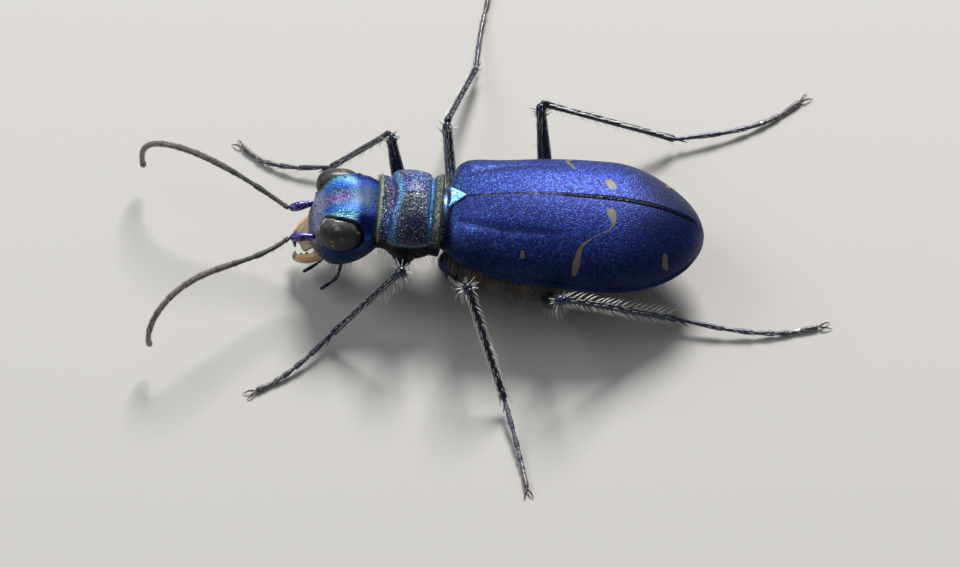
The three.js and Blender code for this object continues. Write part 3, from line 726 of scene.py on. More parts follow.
# %% [markdown]
# Seen close, the drum is a mosaic: dark beads, teal, brassy and silver ones, with blue ones in clouds that
# are denser on the far side as a painted sheen. The metals are a stepped ramp, so that each bead takes one
# of them. The hind furrow is cyan, and the front one is magenta and blue with a cyan wall, a painted
# highlight. Painted shade darkens a spot on the near side, the underside and the seams between the beads,
# and a pale painted highlight runs along the side edge.

# %% Finish of the thorax
thorax_finish, tree, shader, grain, specks = beaded("grained thorax", 29, 0.5, Coat_Weight=0.08)
metals = ramp(tree, grain["Tint"], [
    (0.0, 12, 14, 24), (0.22, 38, 44, 56), (0.38, 74, 82, 98), (0.5, 40, 62, 112), (0.6, 98, 100, 102),
    (0.7, 56, 98, 116), (0.8, 128, 132, 148), (0.9, 142, 138, 122), (0.96, 196, 200, 204),
    (1.0, 90, 54, 96)], "CONSTANT")
blues = ramp(tree, grain["Tint"], [(0.0, 16, 18, 70), (0.35, 48, 62, 150), (0.65, 78, 88, 180),
                                   (0.85, 80, 134, 200), (1.0, 190, 192, 220)])
magentas = ramp(tree, grain["Tint"], [(0.0, 34, 20, 70), (0.6, 84, 40, 120), (1.0, 150, 84, 140)])
cyans = ramp(tree, grain["Tint"], [(0.0, 14, 60, 130), (0.5, 46, 130, 200), (1.0, 140, 200, 226)])
greens = ramp(tree, grain["Tint"], [(0.0, 16, 40, 56), (0.4, 44, 86, 92), (0.7, 90, 106, 88),
                                    (1.0, 164, 170, 140)])
outer_part = rescale(tree, attribute(tree, "far_from_middle"), 0.1, 0.45, 0.35, 1.0)
# the far side's extra blue is a painted sheen
cloudy = rescale(tree, calc(tree, "ADD", grain["Cloud"], attribute(tree, "far_side")), 0.7, 1.3)
colour = layered(tree, metals, [
    (cloudy, 0.85, blues),
    # painted shade on the near side
    ("painted_shade_spot", 1, (14, 16, 62)),
    ("front_furrow", 1, mix(tree, outer_part, magentas, blues)),
    # painted highlight on the wall of the front furrow
    ("furrow_wall", 0.8, cyans),
    ("hind_furrow", 1, cyans),
    ("hind_rim", 1, greens),
    # painted shade in the seams between the beads
    (grain["Seam"], 0.6, (7, 8, 20)),
    # painted shade under the side edge
    ("under", 1, (5, 9, 26)),
    ("front_rim", 1, (126, 132, 116)),
    ("back_rim", 1, (120, 96, 84)),
    # painted highlight along the side edge
    ("edge", 0.6, (120, 150, 176)),
    (specks, 1, (206, 204, 196)),
])
dress(tree, shader, grain["Height"], 0.85, 16, Base_Color=colour, Metallic=between(tree, specks, 0.75, 0.0),
      Roughness=between(tree, grain["Tint"], 0.55, 0.4))
shell("thorax_drum", [set_trunk(drum)], thorax_finish, "thorax", ["prothorax"],
      {mark: [value] for mark, value in drum_masks.items()}, closed=True)

# %% [markdown]
# The rest of the body lies under the wing cases: the hind thorax, which carries the middle and hind legs,
# and the abdomen with its six plates. From above only its sides show, dark blue-green under long hair. It
# is one smooth hull, with a step at each plate, that rises far enough to close the space under the wings.

# %% Hind body
HULL = np.array([
    # x, half width, level, height above and depth below it
    (-4.62, 0.62, -1.62, 0.40, 0.42), (-4.50, 0.86, -1.66, 0.62, 0.60), (-4.20, 1.12, -1.70, 0.70, 0.72),
    (-3.70, 1.46, -1.75, 1.00, 0.86), (-3.00, 1.76, -1.80, 1.36, 0.88), (-2.00, 1.98, -1.82, 1.55, 0.82),
    (-1.00, 2.04, -1.82, 1.60, 0.76), (0.20, 2.06, -1.82, 1.60, 0.70), (1.40, 1.86, -1.80, 1.50, 0.60),
    (2.30, 1.44, -1.78, 1.15, 0.46), (2.90, 0.94, -1.76, 0.80, 0.32), (3.24, 0.42, -1.74, 0.40, 0.18)])
PLATE_JOINTS = (-0.75, 0.0, 0.75, 1.45, 2.1, 2.65)

hull, _ = rings(HULL, 190, 160, 2.1, 1.9)
along, across, lower = hull[..., 0], hull[..., 1], smooth(-hull[..., 2], 1.7, 1.95)
plates = np.zeros_like(along)
for joint in PLATE_JOINTS:
    step = along - joint - 0.06 * np.abs(across)
    overlap = smooth(step, -0.25, 0.0) * (1 - smooth(step, 0.0, 0.04))
    plates = plates - 0.05 * bump(step, 0.05) + 0.02 * overlap
sternum = 0.06 * bump(np.hypot(along + 2.2, across * 1.2) - 0.9, 0.5) - 0.05 * bump(along + 3.05, 0.06)
sternum = sternum - 0.05 * bump(across, 0.05) * (along < -0.9)
hull = relief(hull, (plates + sternum * (along < -0.8)) * lower, np.array([0, 0, -1.6]) + hull * [1, 0, 0])

underside_finish, tree, shader, grain, _ = beaded("dark blue-green underside", 13, Metallic=0.7,
                                                  Coat_Weight=0.2)
deep = ramp(tree, grain["Tint"], [(0.0, 8, 18, 40), (0.5, 12, 44, 84), (0.8, 16, 74, 96),
                                  (1.0, 46, 60, 130)])
dress(tree, shader, grain["Height"], 0.5, 8, Roughness=between(tree, grain["Cloud"], 0.3, 0.45),
      Base_Color=layered(tree, deep, [(grain["Cloud"], 0.5, (30, 26, 88))]))
shell("hind_body", [set_trunk(hull)], underside_finish, "underside", ["pterothorax", "abdomen"], closed=True)

# %% [markdown]
# ## Head
# The head is a capsule that is widest at the eyes. They bulge from its sides, and it is narrower behind
# them, where it slides into the thorax like a plug. Between the eyes its roof dips a little and carries
# fine long wrinkles, and the face falls steeply to the lip. Rings give the capsule, and wherever a ring
# would cut through an eye its points are moved inward, which leaves a socket with a raised brow.

# %% Head capsule
SKULL = np.array([
    # x, half width, level, height above and depth below it
    (-6.05, 0.86, -1.66, 0.56, 0.56), (-6.30, 1.06, -1.69, 0.69, 0.70), (-6.48, 1.18, -1.72, 0.77, 0.84),
    (-6.66, 1.22, -1.77, 0.86, 1.02), (-6.95, 1.22, -1.80, 0.96, 1.28), (-7.35, 1.18, -1.85, 1.03, 1.45),
    (-7.70, 1.10, -1.94, 1.00, 1.34), (-7.92, 0.99, -2.03, 0.88, 1.10), (-8.10, 0.84, -2.14, 0.70, 0.82),
    (-8.24, 0.64, -2.26, 0.48, 0.54), (-8.32, 0.40, -2.36, 0.28, 0.28)])
SKULL_MIDDLE = np.array([-7.3, 0, -1.9])
EYE_CENTRE = np.array([-7.43, 0.93, -1.52])
EYE_RADII = np.array([0.66, 0.52, 0.53])
SOCKET_ROOM, SOCKET_DEPTH, SOCKET_FLARE, BETWEEN_SOCKETS = 1.01, 0.96, 4.0, 0.3


def eye_girth(along, rise):
    """Distance from the eye's middle in its own radii, seen from the side: squarer above, rounder below."""
    power = np.where(rise > 0, 3.0, 2.0)
    return (np.abs(along) ** power + np.abs(rise) ** power) ** (1 / power)


skull, level = rings(SKULL, 210, 260, 3.0, 2.8)
along, across = skull[..., 0], skull[..., 1]
aside = np.abs(across)
on_top = smooth(skull[..., 2] - level, 0.0, 0.35)
eye_gap = (np.abs(skull) * [-1, 1, -1] - EYE_CENTRE) / EYE_RADII
seen = eye_girth(eye_gap[..., 0], eye_gap[..., 2])
eye_reach = np.hypot(seen, eye_gap[..., 1])
between_eyes = bump(along + 7.4, 0.5) * on_top
brow_lines = np.sin(aside * 75) * smooth(aside, 0.22, 0.36) * between_eyes
feeler_pit = bump(np.hypot(along + 8.08, aside - 0.56), 0.17)
cheek_line = bump(skull[..., 2] + 2.4 + 0.3 * (along + 7.3), 0.05) * (1 - on_top) * (along > -7.9)
height = (0.045 * bump(eye_reach - 1.1, 0.08) * on_top - 0.14 * bump(across, 0.42) * between_eyes
          + 0.005 * brow_lines - 0.07 * feeler_pit - 0.03 * cheek_line
          - 0.03 * bump(along + 8.2, 0.025) * on_top)
skull = relief(skull, height, SKULL_MIDDLE)
pit = np.sqrt(np.clip(SOCKET_ROOM**2 - seen**2, 0, None)) * EYE_RADII[1] * SOCKET_DEPTH
limit = EYE_CENTRE[1] - pit + SOCKET_FLARE * np.clip(seen - SOCKET_ROOM, 0, None)
skull[..., 1] = np.sign(across) * np.minimum(np.abs(skull[..., 1]), np.maximum(limit, BETWEEN_SOCKETS))
head_masks = {
    "across": aside,
    "roof": on_top * (1 - smooth(along, -7.0, -6.7)),
    "magenta": bump(across - 0.1 * (along + 7.6), 0.17) * (1 - smooth(along, -7.35, -6.9)) * on_top,
    "cheek": 1 - on_top,
    "face": np.maximum(1 - smooth(along, -8.3, -8.18), (1 - on_top) * (1 - smooth(along, -8.0, -7.8))),
    # the rim of the eye socket, darkened in the finish as painted shade
    "brow": bump(eye_reach - 1.06, 0.07),
    # the front of the roof, which carries a painted highlight
    "forehead": on_top * (1 - smooth(along, -8.05, -7.8)) * smooth(along, -8.3, -8.2),
    "behind": smooth(along, -6.98, -6.8) * smooth(aside, 0.5, 0.8),
}

# %% [markdown]
# The roof of the head is the most colourful part. A magenta stripe runs down its middle, with green and
# then bright blue to each side, and behind the eyes the shell is smooth and deep blue. The stripes are a
# ramp over the distance from the middle, disturbed by noise and by the tint of each bead. A pale painted
# highlight lies on the front of the roof, and painted shade darkens the rim of each eye socket and the seams
# between the beads.

# %% Finish of the head
def disturbed(tree, value, mask, amount):
    """A value that a mask from 0 to 1 moves up and down a little."""
    return calc(tree, "ADD", value, times(tree, calc(tree, "SUBTRACT", mask, 0.5), amount))


head_finish, tree, shader, grain, _ = beaded("striped head", 17, Metallic=0.8, Coat_Weight=0.1,
                                             Coat_Roughness=0.25)
spread = disturbed(tree, attribute(tree, "across"), grain["Cloud"], 0.2)
spread = disturbed(tree, spread, grain["Tint"], 0.24)
stripes = ramp(tree, spread, [
    (0.0, 64, 96, 150), (0.1, 88, 112, 150), (0.18, 70, 118, 104), (0.27, 40, 92, 170),
    (0.42, 48, 92, 196), (0.54, 60, 128, 176), (0.66, 110, 164, 166), (0.8, 34, 70, 130)])
nape_tint = ramp(tree, spread, [(0.0, 16, 50, 82), (0.3, 12, 52, 94), (0.6, 16, 46, 122),
                                (0.9, 14, 30, 130)])
smooth_blue = ramp(tree, grain["Cloud"], [(0.0, 8, 18, 96), (1.0, 10, 50, 124)])
magenta = ramp(tree, grain["Tint"], [(0.0, 70, 44, 120), (0.6, 122, 78, 156), (1.0, 176, 140, 180)])
cheeks = ramp(tree, grain["Cloud"], [(0.0, 8, 28, 84), (1.0, 8, 58, 92)])
face_tint = ramp(tree, grain["Tint"], [(0.0, 12, 12, 22), (0.5, 34, 32, 52), (0.8, 74, 62, 104),
                                       (0.94, 110, 112, 128), (1.0, 190, 192, 200)])
rough_skin = times(tree, calc(tree, "SUBTRACT", 1.0, attribute(tree, "behind"), clamp=True),
                   between(tree, attribute(tree, "cheek"), 1.0, 0.3))
colour = layered(tree, nape_tint, [
    ("roof", 1, stripes),
    ("magenta", 0.8, magenta),
    # painted highlight on the front of the roof
    ("forehead", 0.6, (172, 180, 206)),
    ("behind", 1, smooth_blue),
    ("cheek", 1, cheeks),
    ("face", 0.9, face_tint),
    # painted shade in the seams between the beads
    (times(tree, grain["Seam"], rough_skin), 0.55, (8, 12, 52)),
    # painted shade round the eye sockets
    ("brow", 0.6, (8, 12, 26)),
])
dress(tree, shader, times(tree, grain["Height"], rough_skin), 0.8, 12, Base_Color=colour,
      Roughness=between(tree, rough_skin, 0.3, 0.54))
shell("head_capsule", [set_head(skull)], head_finish, "head", ["head"],
      {mark: [value] for mark, value in head_masks.items()}, closed=True, flip=True)

# %% [markdown]
# A beetle's eye is a dome of thousands of lenses. From a step away they only give a fine sheen over a
# mottled grey-brown, so each eye is a ball with the lenses as a bump of small cells, and the mottling is
# noise of two sizes. The near eye is a little paler on its upper part, a painted highlight, and the far
# one a little darker, painted shade.

# %% Eyes
eye_finish, tree, shader = finish("faceted eye", Roughness=0.62, Coat_Weight=0.22, Coat_Roughness=0.12)
patches, broad = clouds(tree, 7000.0, 5.0, 0.85), clouds(tree, 2200.0, 2.0)
mottled = calc(tree, "ADD", times(tree, patches, 0.6), times(tree, broad, 0.4))
# painted light: a paler top on the near eye, a darker far eye
mottled = calc(tree, "ADD", mottled, times(tree, attribute(tree, "upper"), 0.035))
lenses = rescale(tree, cells(tree, 42000.0, 0.25)["Distance"], 0.0, 0.7, 1.0, 0.0)
browns = ramp(tree, mottled, [(0.42, 14, 12, 13), (0.51, 30, 26, 25), (0.56, 62, 55, 52),
                              (0.595, 128, 122, 118), (0.64, 196, 194, 192)])
dress(tree, shader, lenses, 0.6, 5, Base_Color=browns)

NEAR_POLE = 1.55
round_eye = np.linspace(0, 2 * math.pi, 96, endpoint=False)
turn, rise = np.meshgrid(round_eye, np.linspace(-NEAR_POLE, NEAR_POLE, 60))
ring_x, ring_z = np.cos(turn), np.sin(turn)
girth = eye_girth(ring_x, ring_z)
ball = np.stack([np.cos(rise) * ring_x / girth, np.sin(rise), np.cos(rise) * ring_z / girth], -1)
for side, word in SIDES:
    # painted highlight on the near eye's upper part, painted shade on the far eye
    upper = -side * smooth(ball[..., 2] - 0.6 * ball[..., 0], -0.1, 1.0)
    shell("eye_ball_" + word, [set_head((EYE_CENTRE + ball * EYE_RADII) * [1, side, 1])], eye_finish, "eye",
          ["eye_" + word], {"upper": [upper]}, closed=True, flip=side > 0)

# %% [markdown]
# ## Limbs, jaws and feelers
# Legs, jaws, palps and feelers are all bent tubes that swell and taper. One helper sweeps a ring along a
# path, with a radius that follows a few stations, and rounds off both ends. A mask along the tube lets a
# material change its colour from root to tip.

# %% Paths
def unit(vectors):
    return vectors / np.linalg.norm(vectors, axis=-1, keepdims=True)


def run_of(path):
    """The length of a path up to each of its points."""
    return np.concatenate([[0], np.cumsum(np.linalg.norm(np.diff(path, axis=0), axis=1))])


def curve(points, count):
    """A smooth curve through a few points, evenly spaced."""
    p = np.asarray(points, float)
    run = run_of(p)
    fine = np.linspace(0, run[-1], count)
    if len(p) == 2:
        return p[0] + (p[1] - p[0]) * (fine / run[-1])[:, None]
    return np.stack([through(run, p[:, k], fine) for k in range(3)], -1)


def at_shares(path, shares):
    """Places between the points of a path, from 0 at its start to 1 at its end."""
    even = np.linspace(0, 1, len(path))
    return np.stack([np.interp(shares, even, path[:, k]) for k in range(3)], -1)


def limb_path(points, count, length, end):
    """A curve of about this length whose points crowd towards its rounded ends."""
    cap = end * (1 - np.cos(np.linspace(0, math.pi / 2, 6)[:-1]))
    shares = np.concatenate([cap, np.linspace(end, length - end, count), length - cap[::-1]]) / length
    return at_shares(curve(points, 200), shares)


def sides_of(path, up=(0, 0, 1)):
    """For each point of a path, its direction, the side nearest to up, and the third axis."""
    d, up = unit(np.gradient(path, axis=0)), np.asarray(up, float)
    u = unit(up - d * (d @ up)[:, None])
    return d, u, np.cross(d, u)


# %% Tubes along paths
SMALLEST_RING = 0.02


def limb(path, stations, radii, sides=20, tall=1.0, up=(0, 0, 1)):
    """A grid round a path; stations run from 0 to 1 along it, and tall stretches it upward and downward."""
    run = run_of(path)
    share = run / run[-1]
    radius = through(stations, radii, share)
    for from_end, end_radius in ((run, radii[0]), (run[-1] - run, radii[-1])):
        t = np.clip(from_end / end_radius, 0, 1)
        radius = radius * np.maximum(np.sqrt(1 - (1 - t) ** 2), SMALLEST_RING)
    _, u, w = sides_of(path, up)
    a = np.linspace(0, 2 * math.pi, sides, endpoint=False)
    spoke = u[:, None, :] * np.cos(a)[None, :, None] * tall + w[:, None, :] * np.sin(a)[None, :, None]
    return path[:, None, :] + spoke * radius[:, None, None], share


def tubes(name, grids, material, slot, nodes, marks=None, place=in_frame):
    """Closed tubes as one piece; marks hold one list of row values for each tube."""
    shell(name, [place(grid) for grid in grids], material, slot, nodes, marks, closed=True)


# %% [markdown]
# The jaws of a tiger beetle are long sickles that cross in front of the face. They are ivory outside and
# black at the points and teeth. Above them hangs the upper lip, a pale plate with small teeth along its
# edge, and below them are two pairs of jointed palps. The jaws are tubes of nearly round section, with
# cones for teeth, and the lip is a domed grid whose front edge is waved.

# %% Jaws
JAW = [(-7.8, 0.68, -2.66), (-8.15, 0.72, -2.84), (-8.48, 0.58, -3.08), (-8.68, 0.34, -3.28),
       (-8.68, 0.04, -3.38)]
JAW_RADII = [0.15, 0.14, 0.12, 0.08, 0.025]
JAW_HEIGHT_SHIFT = 0.05
JAW_TEETH = ((0.34, 0.3), (0.5, 0.3), (0.64, 0.24))

ivory_finish, tree, shader = finish("ivory jaws", Coat_Weight=0.4, Coat_Roughness=0.15)
patches = clouds(tree, 2600.0, 4.0)
bone = ramp(tree, patches, [(0.3, 166, 124, 78), (0.7, 214, 178, 128)])
black = rescale(tree, disturbed(tree, attribute(tree, "dark"), patches, 0.5), 0.35, 0.7)
dress(tree, shader, patches, 0.4, 10, Base_Color=mix(tree, black, bone, (30, 20, 18)),
      Roughness=rescale(tree, patches, 0.3, 0.7, 0.28, 0.42))

for side, word in SIDES:
    path = limb_path(np.array(JAW) * [1, side, 1] + [0, 0, JAW_HEIGHT_SHIFT * side], 40, 1.8, 0.1)
    blade, share = limb(path, [0, 0.3, 0.6, 0.85, 1], JAW_RADII, 20, 1.1)
    parts, dark = [blade], [smooth(share, 0.5, 0.85)]
    for at, reach in JAW_TEETH:
        base = path[int(at * (len(path) - 1))]
        tip = base + np.array([0.1, -side * reach, -0.02])
        parts.append(limb(curve([base, tip], 10), [0, 0.6, 1], [0.08, 0.05, 0.015], 10)[0])
        dark.append(np.linspace(0.3, 1, 10))
    tubes("jaw_" + word, parts, ivory_finish, "ivory", ["mandible_" + word], {"dark": dark}, set_head)

# %% Upper lip
LIP_BASE, LIP_TILT = np.array([-8.3, 0, -2.28]), math.radians(50)
LIP_LENGTH, LIP_WIDTH, LIP_THICKNESS = 0.52, 1.24, 0.1

lip_finish, tree, shader, grain, _ = beaded("pale upper lip", 12, Coat_Weight=0.3, Coat_Roughness=0.2)
pearl = ramp(tree, grain["Cloud"], [(0.0, 104, 102, 104), (0.5, 160, 142, 112), (1.0, 196, 174, 134)])
dress(tree, shader, grain["Height"], 0.3, 10, Roughness=between(tree, grain["Tint"], 0.3, 0.5),
      Base_Color=mix(tree, rescale(tree, attribute(tree, "dark"), 0.3, 0.8), pearl, (60, 44, 36)))

u, v = np.meshgrid(np.linspace(0, 1, 40), np.linspace(-1, 1, 81), indexing="ij")
waves = 0.1 * np.abs(np.sin(v * math.pi * 1.75)) * smooth(u, 0.7, 1.0)
run = LIP_LENGTH * (u * (1 - 0.3 * v**2) + waves)
arch = 0.26 * v**2 + 0.1 * u**2 * (1 - v**2)
lip = np.stack([-run * math.cos(LIP_TILT) + 0.14 * v**2, LIP_WIDTH / 2 * v * (1 - 0.12 * u),
                -run * math.sin(LIP_TILT) - arch], -1) + LIP_BASE
dark = 0.7 * bump(np.abs(v) - 1, 0.1) + 0.5 * smooth(u, 0.9, 1.0)
lip_plate = shell("upper_lip", [set_head(lip)], lip_finish, "ivory", ["labrum"], {"dark": [dark]})
thicken(lip_plate, LIP_THICKNESS)

# %% [markdown]
# Leg chitin is darker than the back: blue-black with a blue-green sheen, glossy between fine pits, and a
# little purple at the feet. One material serves legs and palps. Its mask along each limb shifts the colour.
# The feet are duller and dustier, and the first joint of each feeler is violet and shiny.

# %% Finish of the legs
leg_finish, tree, shader, grain, specks = beaded("dark metallic leg", 24, 0.7, Metallic=0.75,
                                                 Coat_Weight=0.35)
upper = ramp(tree, grain["Tint"], [(0.0, 7, 12, 26), (0.45, 12, 26, 50), (0.75, 18, 48, 68),
                                   (1.0, 44, 46, 78)])
lower = ramp(tree, grain["Tint"], [(0.0, 15, 17, 30), (0.5, 34, 42, 62), (0.8, 50, 70, 84),
                                   (1.0, 84, 80, 100)])
dress(tree, shader, grain["Height"], 0.6, 7, Roughness=between(tree, grain["Cloud"], 0.26, 0.42),
      Base_Color=layered(tree, upper, [("along", 1, lower), (specks, 1, (200, 196, 186))]))

foot_finish, tree, shader, grain, specks = beaded("violet-grey foot", 26, 0.9, Metallic=0.45,
                                                  Coat_Weight=0.25)
greyish = ramp(tree, grain["Tint"], [(0.0, 22, 26, 44), (0.5, 46, 50, 80), (1.0, 86, 86, 114)])
dress(tree, shader, grain["Height"], 0.5, 6, Roughness=between(tree, grain["Cloud"], 0.32, 0.5),
      Base_Color=layered(tree, greyish, [("along", 1, (84, 78, 84)), (specks, 1, (205, 200, 190))]))

scape_finish, tree, shader, grain, _ = beaded("violet first joint", 18, Metallic=0.75, Coat_Weight=0.5,
                                              Coat_Roughness=0.15)
violets = ramp(tree, grain["Tint"], [(0.0, 24, 18, 58), (0.5, 60, 50, 132), (1.0, 120, 110, 186)])
dress(tree, shader, grain["Height"], 0.5, 6, Base_Color=violets,
      Roughness=between(tree, grain["Cloud"], 0.22, 0.4))

# %% Palps
PALPS = {
    "labial_palp": ([(-7.7, 0.34, -3.0), (-7.98, 0.44, -3.45), (-8.45, 0.66, -3.66)], 2),
    "maxillary_palp": ([(-7.3, 0.66, -2.98), (-7.45, 1.02, -3.45), (-7.95, 1.36, -3.62)], 3),
}
PALP_RADII, PALP_POINTS = [0.04, 0.056, 0.045], 90
for word, (path, joints) in PALPS.items():
    cuts = [PALP_POINTS * j // joints for j in range(joints + 1)]
    for side, hand in SIDES:
        whole = curve(np.array(path) * [1, side, 1], PALP_POINTS)
        spans = [whole[start:end + 2] for start, end in zip(cuts, cuts[1:])]
        parts = [limb(span, [0, 0.7, 1], PALP_RADII, 14)[0] for span in spans]
        tubes(word + "_joints_" + hand, parts, leg_finish, "leg", [word + "_" + hand],
              {"along": [1.0] * joints}, set_head)

# %% [markdown]
# Each feeler has eleven joints: a thick shiny first one, a short knob, two long shiny ones and seven dull
# ones under fine down. The curve of the whole whip starts as straight as the first joint and bends more
# towards the tip. The joints are separate tubes along that curve, each thinnest at its root.

# %% Paths of the feelers
FEELER_ROOT = (-8.15, 0.66, -2.0)
SCAPE_LENGTH, WHIP_LENGTH = 0.77, 6.45
WHIP_STEPS = 24
FEELER_POSE = {
    # yaw and lift of the first joint, then of the whip: both at its root and tip, and a bow between them
    "left": {"scape": (2.2, -4.5), "yaw": (41, 53, -6), "lift": (-13, -111, 43)},
    "right": {"scape": (-12.6, -8.3), "yaw": (39, 53, -24), "lift": (1, -111, 28)},
}


def heading(yaw, lift):
    yaw, lift = math.radians(yaw), math.radians(lift)
    return np.array([math.cos(yaw) * math.cos(lift), math.sin(yaw) * math.cos(lift), math.sin(lift)])


def bent(pose, share, bow):
    """An angle that runs from its value at the root to the one at the tip, with a bow between."""
    return pose[0] + (pose[1] - pose[0]) * share + bow * pose[2]


def feeler_path(side, pose):
    root = upright(turned(np.array(FEELER_ROOT) * [1, side, 1]))
    scape_end = root + heading(180 - side * pose["scape"][0], pose["scape"][1]) * SCAPE_LENGTH
    points = [scape_end]
    for t in (np.arange(WHIP_STEPS) + 0.5) / WHIP_STEPS:
        bow = 4 * t * (1 - t)
        way = heading(180 - side * bent(pose["yaw"], t, bow), bent(pose["lift"], t**2.2, bow))
        points.append(points[-1] + way * WHIP_LENGTH / WHIP_STEPS)
    return root, scape_end, curve(points, 600)


# %% Finish of the feelers
feeler_finish, tree, shader, grain, _ = beaded("dull grey feeler", 34)
greys = ramp(tree, grain["Tint"], [(0.0, 58, 56, 50), (0.5, 92, 89, 80), (1.0, 136, 131, 120)])
dress(tree, shader, grain["Height"], 0.6, 5, Roughness=between(tree, grain["Cloud"], 0.6, 0.8),
      Base_Color=mix(tree, attribute(tree, "joint"), greys, (26, 30, 34)))

# %% Joints of the feelers
BASE_JOINTS, WHIP_JOINTS = (0.2, 1.15, 0.85), 7
BASE_RADII = [0.06, 0.066, 0.074, 0.086, 0.07]
WHIP_RADII, TIP_RADIUS = [0.08, 0.09, 0.096, 0.1, 0.088], 0.045
BASE_OVERLAP, WHIP_OVERLAP, WHIP_TAPER = 0.05, 0.07, 0.3
SHINY_TONE, DULL_TONE = 0.55, 0.5

feelers = {}
for side, hand in SIDES:
    root, scape_end, whip = feeler_path(side, FEELER_POSE[hand])
    feelers[hand] = whip
    scape, _ = limb(curve([root, scape_end], 60), [0, 0.2, 0.75, 1], [0.08, 0.1, 0.135, 0.09])
    tubes(f"feeler_{hand}_first_joint", [scape], scape_finish, "leg", [f"antenna_{hand}_scape"])
    step = WHIP_LENGTH / (len(whip) - 1)
    place, shiny, dull = 0.0, [], []
    for length in BASE_JOINTS:
        part = whip[int(max(place - BASE_OVERLAP, 0) / step): int((place + length) / step) + 2]
        shiny.append(limb(part, [0, 0.1, 0.6, 0.92, 1], BASE_RADII, 16)[0])
        place += length
    each = (WHIP_LENGTH - place) / WHIP_JOINTS
    for j in range(WHIP_JOINTS):
        part = whip[int((place - WHIP_OVERLAP) / step): int((place + each) / step) + 2]
        radii = np.array(WHIP_RADII if j < WHIP_JOINTS - 1 else WHIP_RADII[:-1] + [TIP_RADIUS])
        radii = radii * (1 - WHIP_TAPER * (j / WHIP_JOINTS) ** 2)
        dull.append(limb(part, [0, 0.12, 0.6, 0.92, 1], radii, 16)[0])
        place += each
    tubes(f"feeler_{hand}_long_joints", shiny, feeler_finish, "feeler", [f"antenna_{hand}_base"],
          {"joint": [SHINY_TONE] * len(shiny)})
    tone = [DULL_TONE * (1 - smooth(np.linspace(0, 1, len(tube)), 0.02, 0.14)) for tube in dull]
    tubes(f"feeler_{hand}_whip", dull, feeler_finish, "feeler",
          [f"antenna_{hand}_middle", f"antenna_{hand}_tip"], {"joint": tone})

# %% [markdown]
# ## Legs
# Each leg is a chain: coxa, a small trochanter, the strong thigh, the slim shin with two spurs, five foot
# joints and a pair of claws. The angles of thigh, shin and foot were read from the pose, seen from above,
# and the shin comes down from the knee to a set height over the floor. All lengths are those of the
# solids, and only the thickness is finer here.

# %% Measures of the legs
LEGS = {
    # coxa and hip in trunk axes, then the lengths of thigh, shin and foot
    "fore": ((-5.4, 0.68, -2.04), (-5.4, 1.0, -2.68), 2.45, 3.24, 2.98),
    "mid": ((-3.95, 0.82, -2.35), (-3.95, 1.1, -2.92), 3.26, 3.56, 3.17),
    "hind": ((-1.3, 0.98, -2.42), (-1.1, 1.5, -3.12), 3.55, 4.69, 4.32),
}
LEG_POSE = {
    # thigh yaw and lift, shin yaw, foot yaw at its root and at its tip
    "left_fore": ((-88, 44), -166, (-129, -146)), "left_mid": ((-74, 42), -60, (-73, -77)),
    "left_hind": ((-75.5, 48), 27, (-8, 18)), "right_fore": ((111, 47), 159, (178, 138)),
    "right_mid": ((98, 14), 78, (89, 83)), "right_hind": ((99, 37), 10, (17, 45)),
}
FEMUR_BOW, ANKLE_HEIGHT, TOE_HEIGHT = 0.2, 0.4, 0.085
FOOT_SHARES, TOUCHDOWN_SHARE = (0.34, 0.2, 0.15, 0.1, 0.21), 0.79
COXA_RADII, TROCHANTER_RADII = (0.36, 0.42, 0.26), (0.18, 0.22, 0.16)
FEMUR_RADII = {"fore": (0.17, 0.22, 0.2, 0.15, 0.16), "mid": (0.15, 0.17, 0.165, 0.145, 0.155),
               "hind": (0.18, 0.235, 0.21, 0.155, 0.16)}
TIBIA_RADII, SPUR_RADII = (0.12, 0.1, 0.095, 0.095, 0.115), (0.035, 0.022, 0.006)
TARSUS_RADII, CLAW_RADII = (0.055, 0.062, 0.08, 0.07), (0.035, 0.026, 0.006)
SPUR_LENGTH, SPUR_SPREAD, SPUR_DROP = 0.38, 0.12, 0.1
CLAW_LENGTH, CLAW_SPLAY, FOOT_OVERLAP = 0.42, 24, 0.07


def leg_points(name):
    hand, pair = name.split("_")
    *joints, femur, tibia, tarsus = LEGS[pair]
    side = -1 if hand == "left" else 1
    (femur_yaw, femur_lift), tibia_yaw, foot_yaws = LEG_POSE[name]
    coxa, hip = (upright(np.array(joint) * [1, side, 1]) for joint in joints)
    knee = hip + heading(femur_yaw, femur_lift) * femur
    drop = math.asin((ANKLE_HEIGHT - knee[2]) / tibia)
    ankle = knee + heading(tibia_yaw, math.degrees(drop)) * tibia
    toes = [ankle]
    for i, share in enumerate(FOOT_SHARES):
        yaw = foot_yaws[0] + (foot_yaws[1] - foot_yaws[0]) * i / 4
        flat = toes[-1] + heading(yaw, 0) * share * tarsus
        lowered = min(1, sum(FOOT_SHARES[:i + 1]) / TOUCHDOWN_SHARE)
        toes.append(np.array([flat[0], flat[1], ANKLE_HEIGHT + (TOE_HEIGHT - ANKLE_HEIGHT) * lowered]))
    sag = (hip + knee) / 2 - [0, 0, FEMUR_BOW]
    return {"coxa": coxa, "hip": hip, "knee": knee, "ankle": ankle, "toes": toes, "sag": sag, "yaw": yaw}


legs = {name: leg_points(name) for name in LEG_POSE}
print("knees at", {name: at["knee"].round(2).tolist() for name, at in legs.items()})

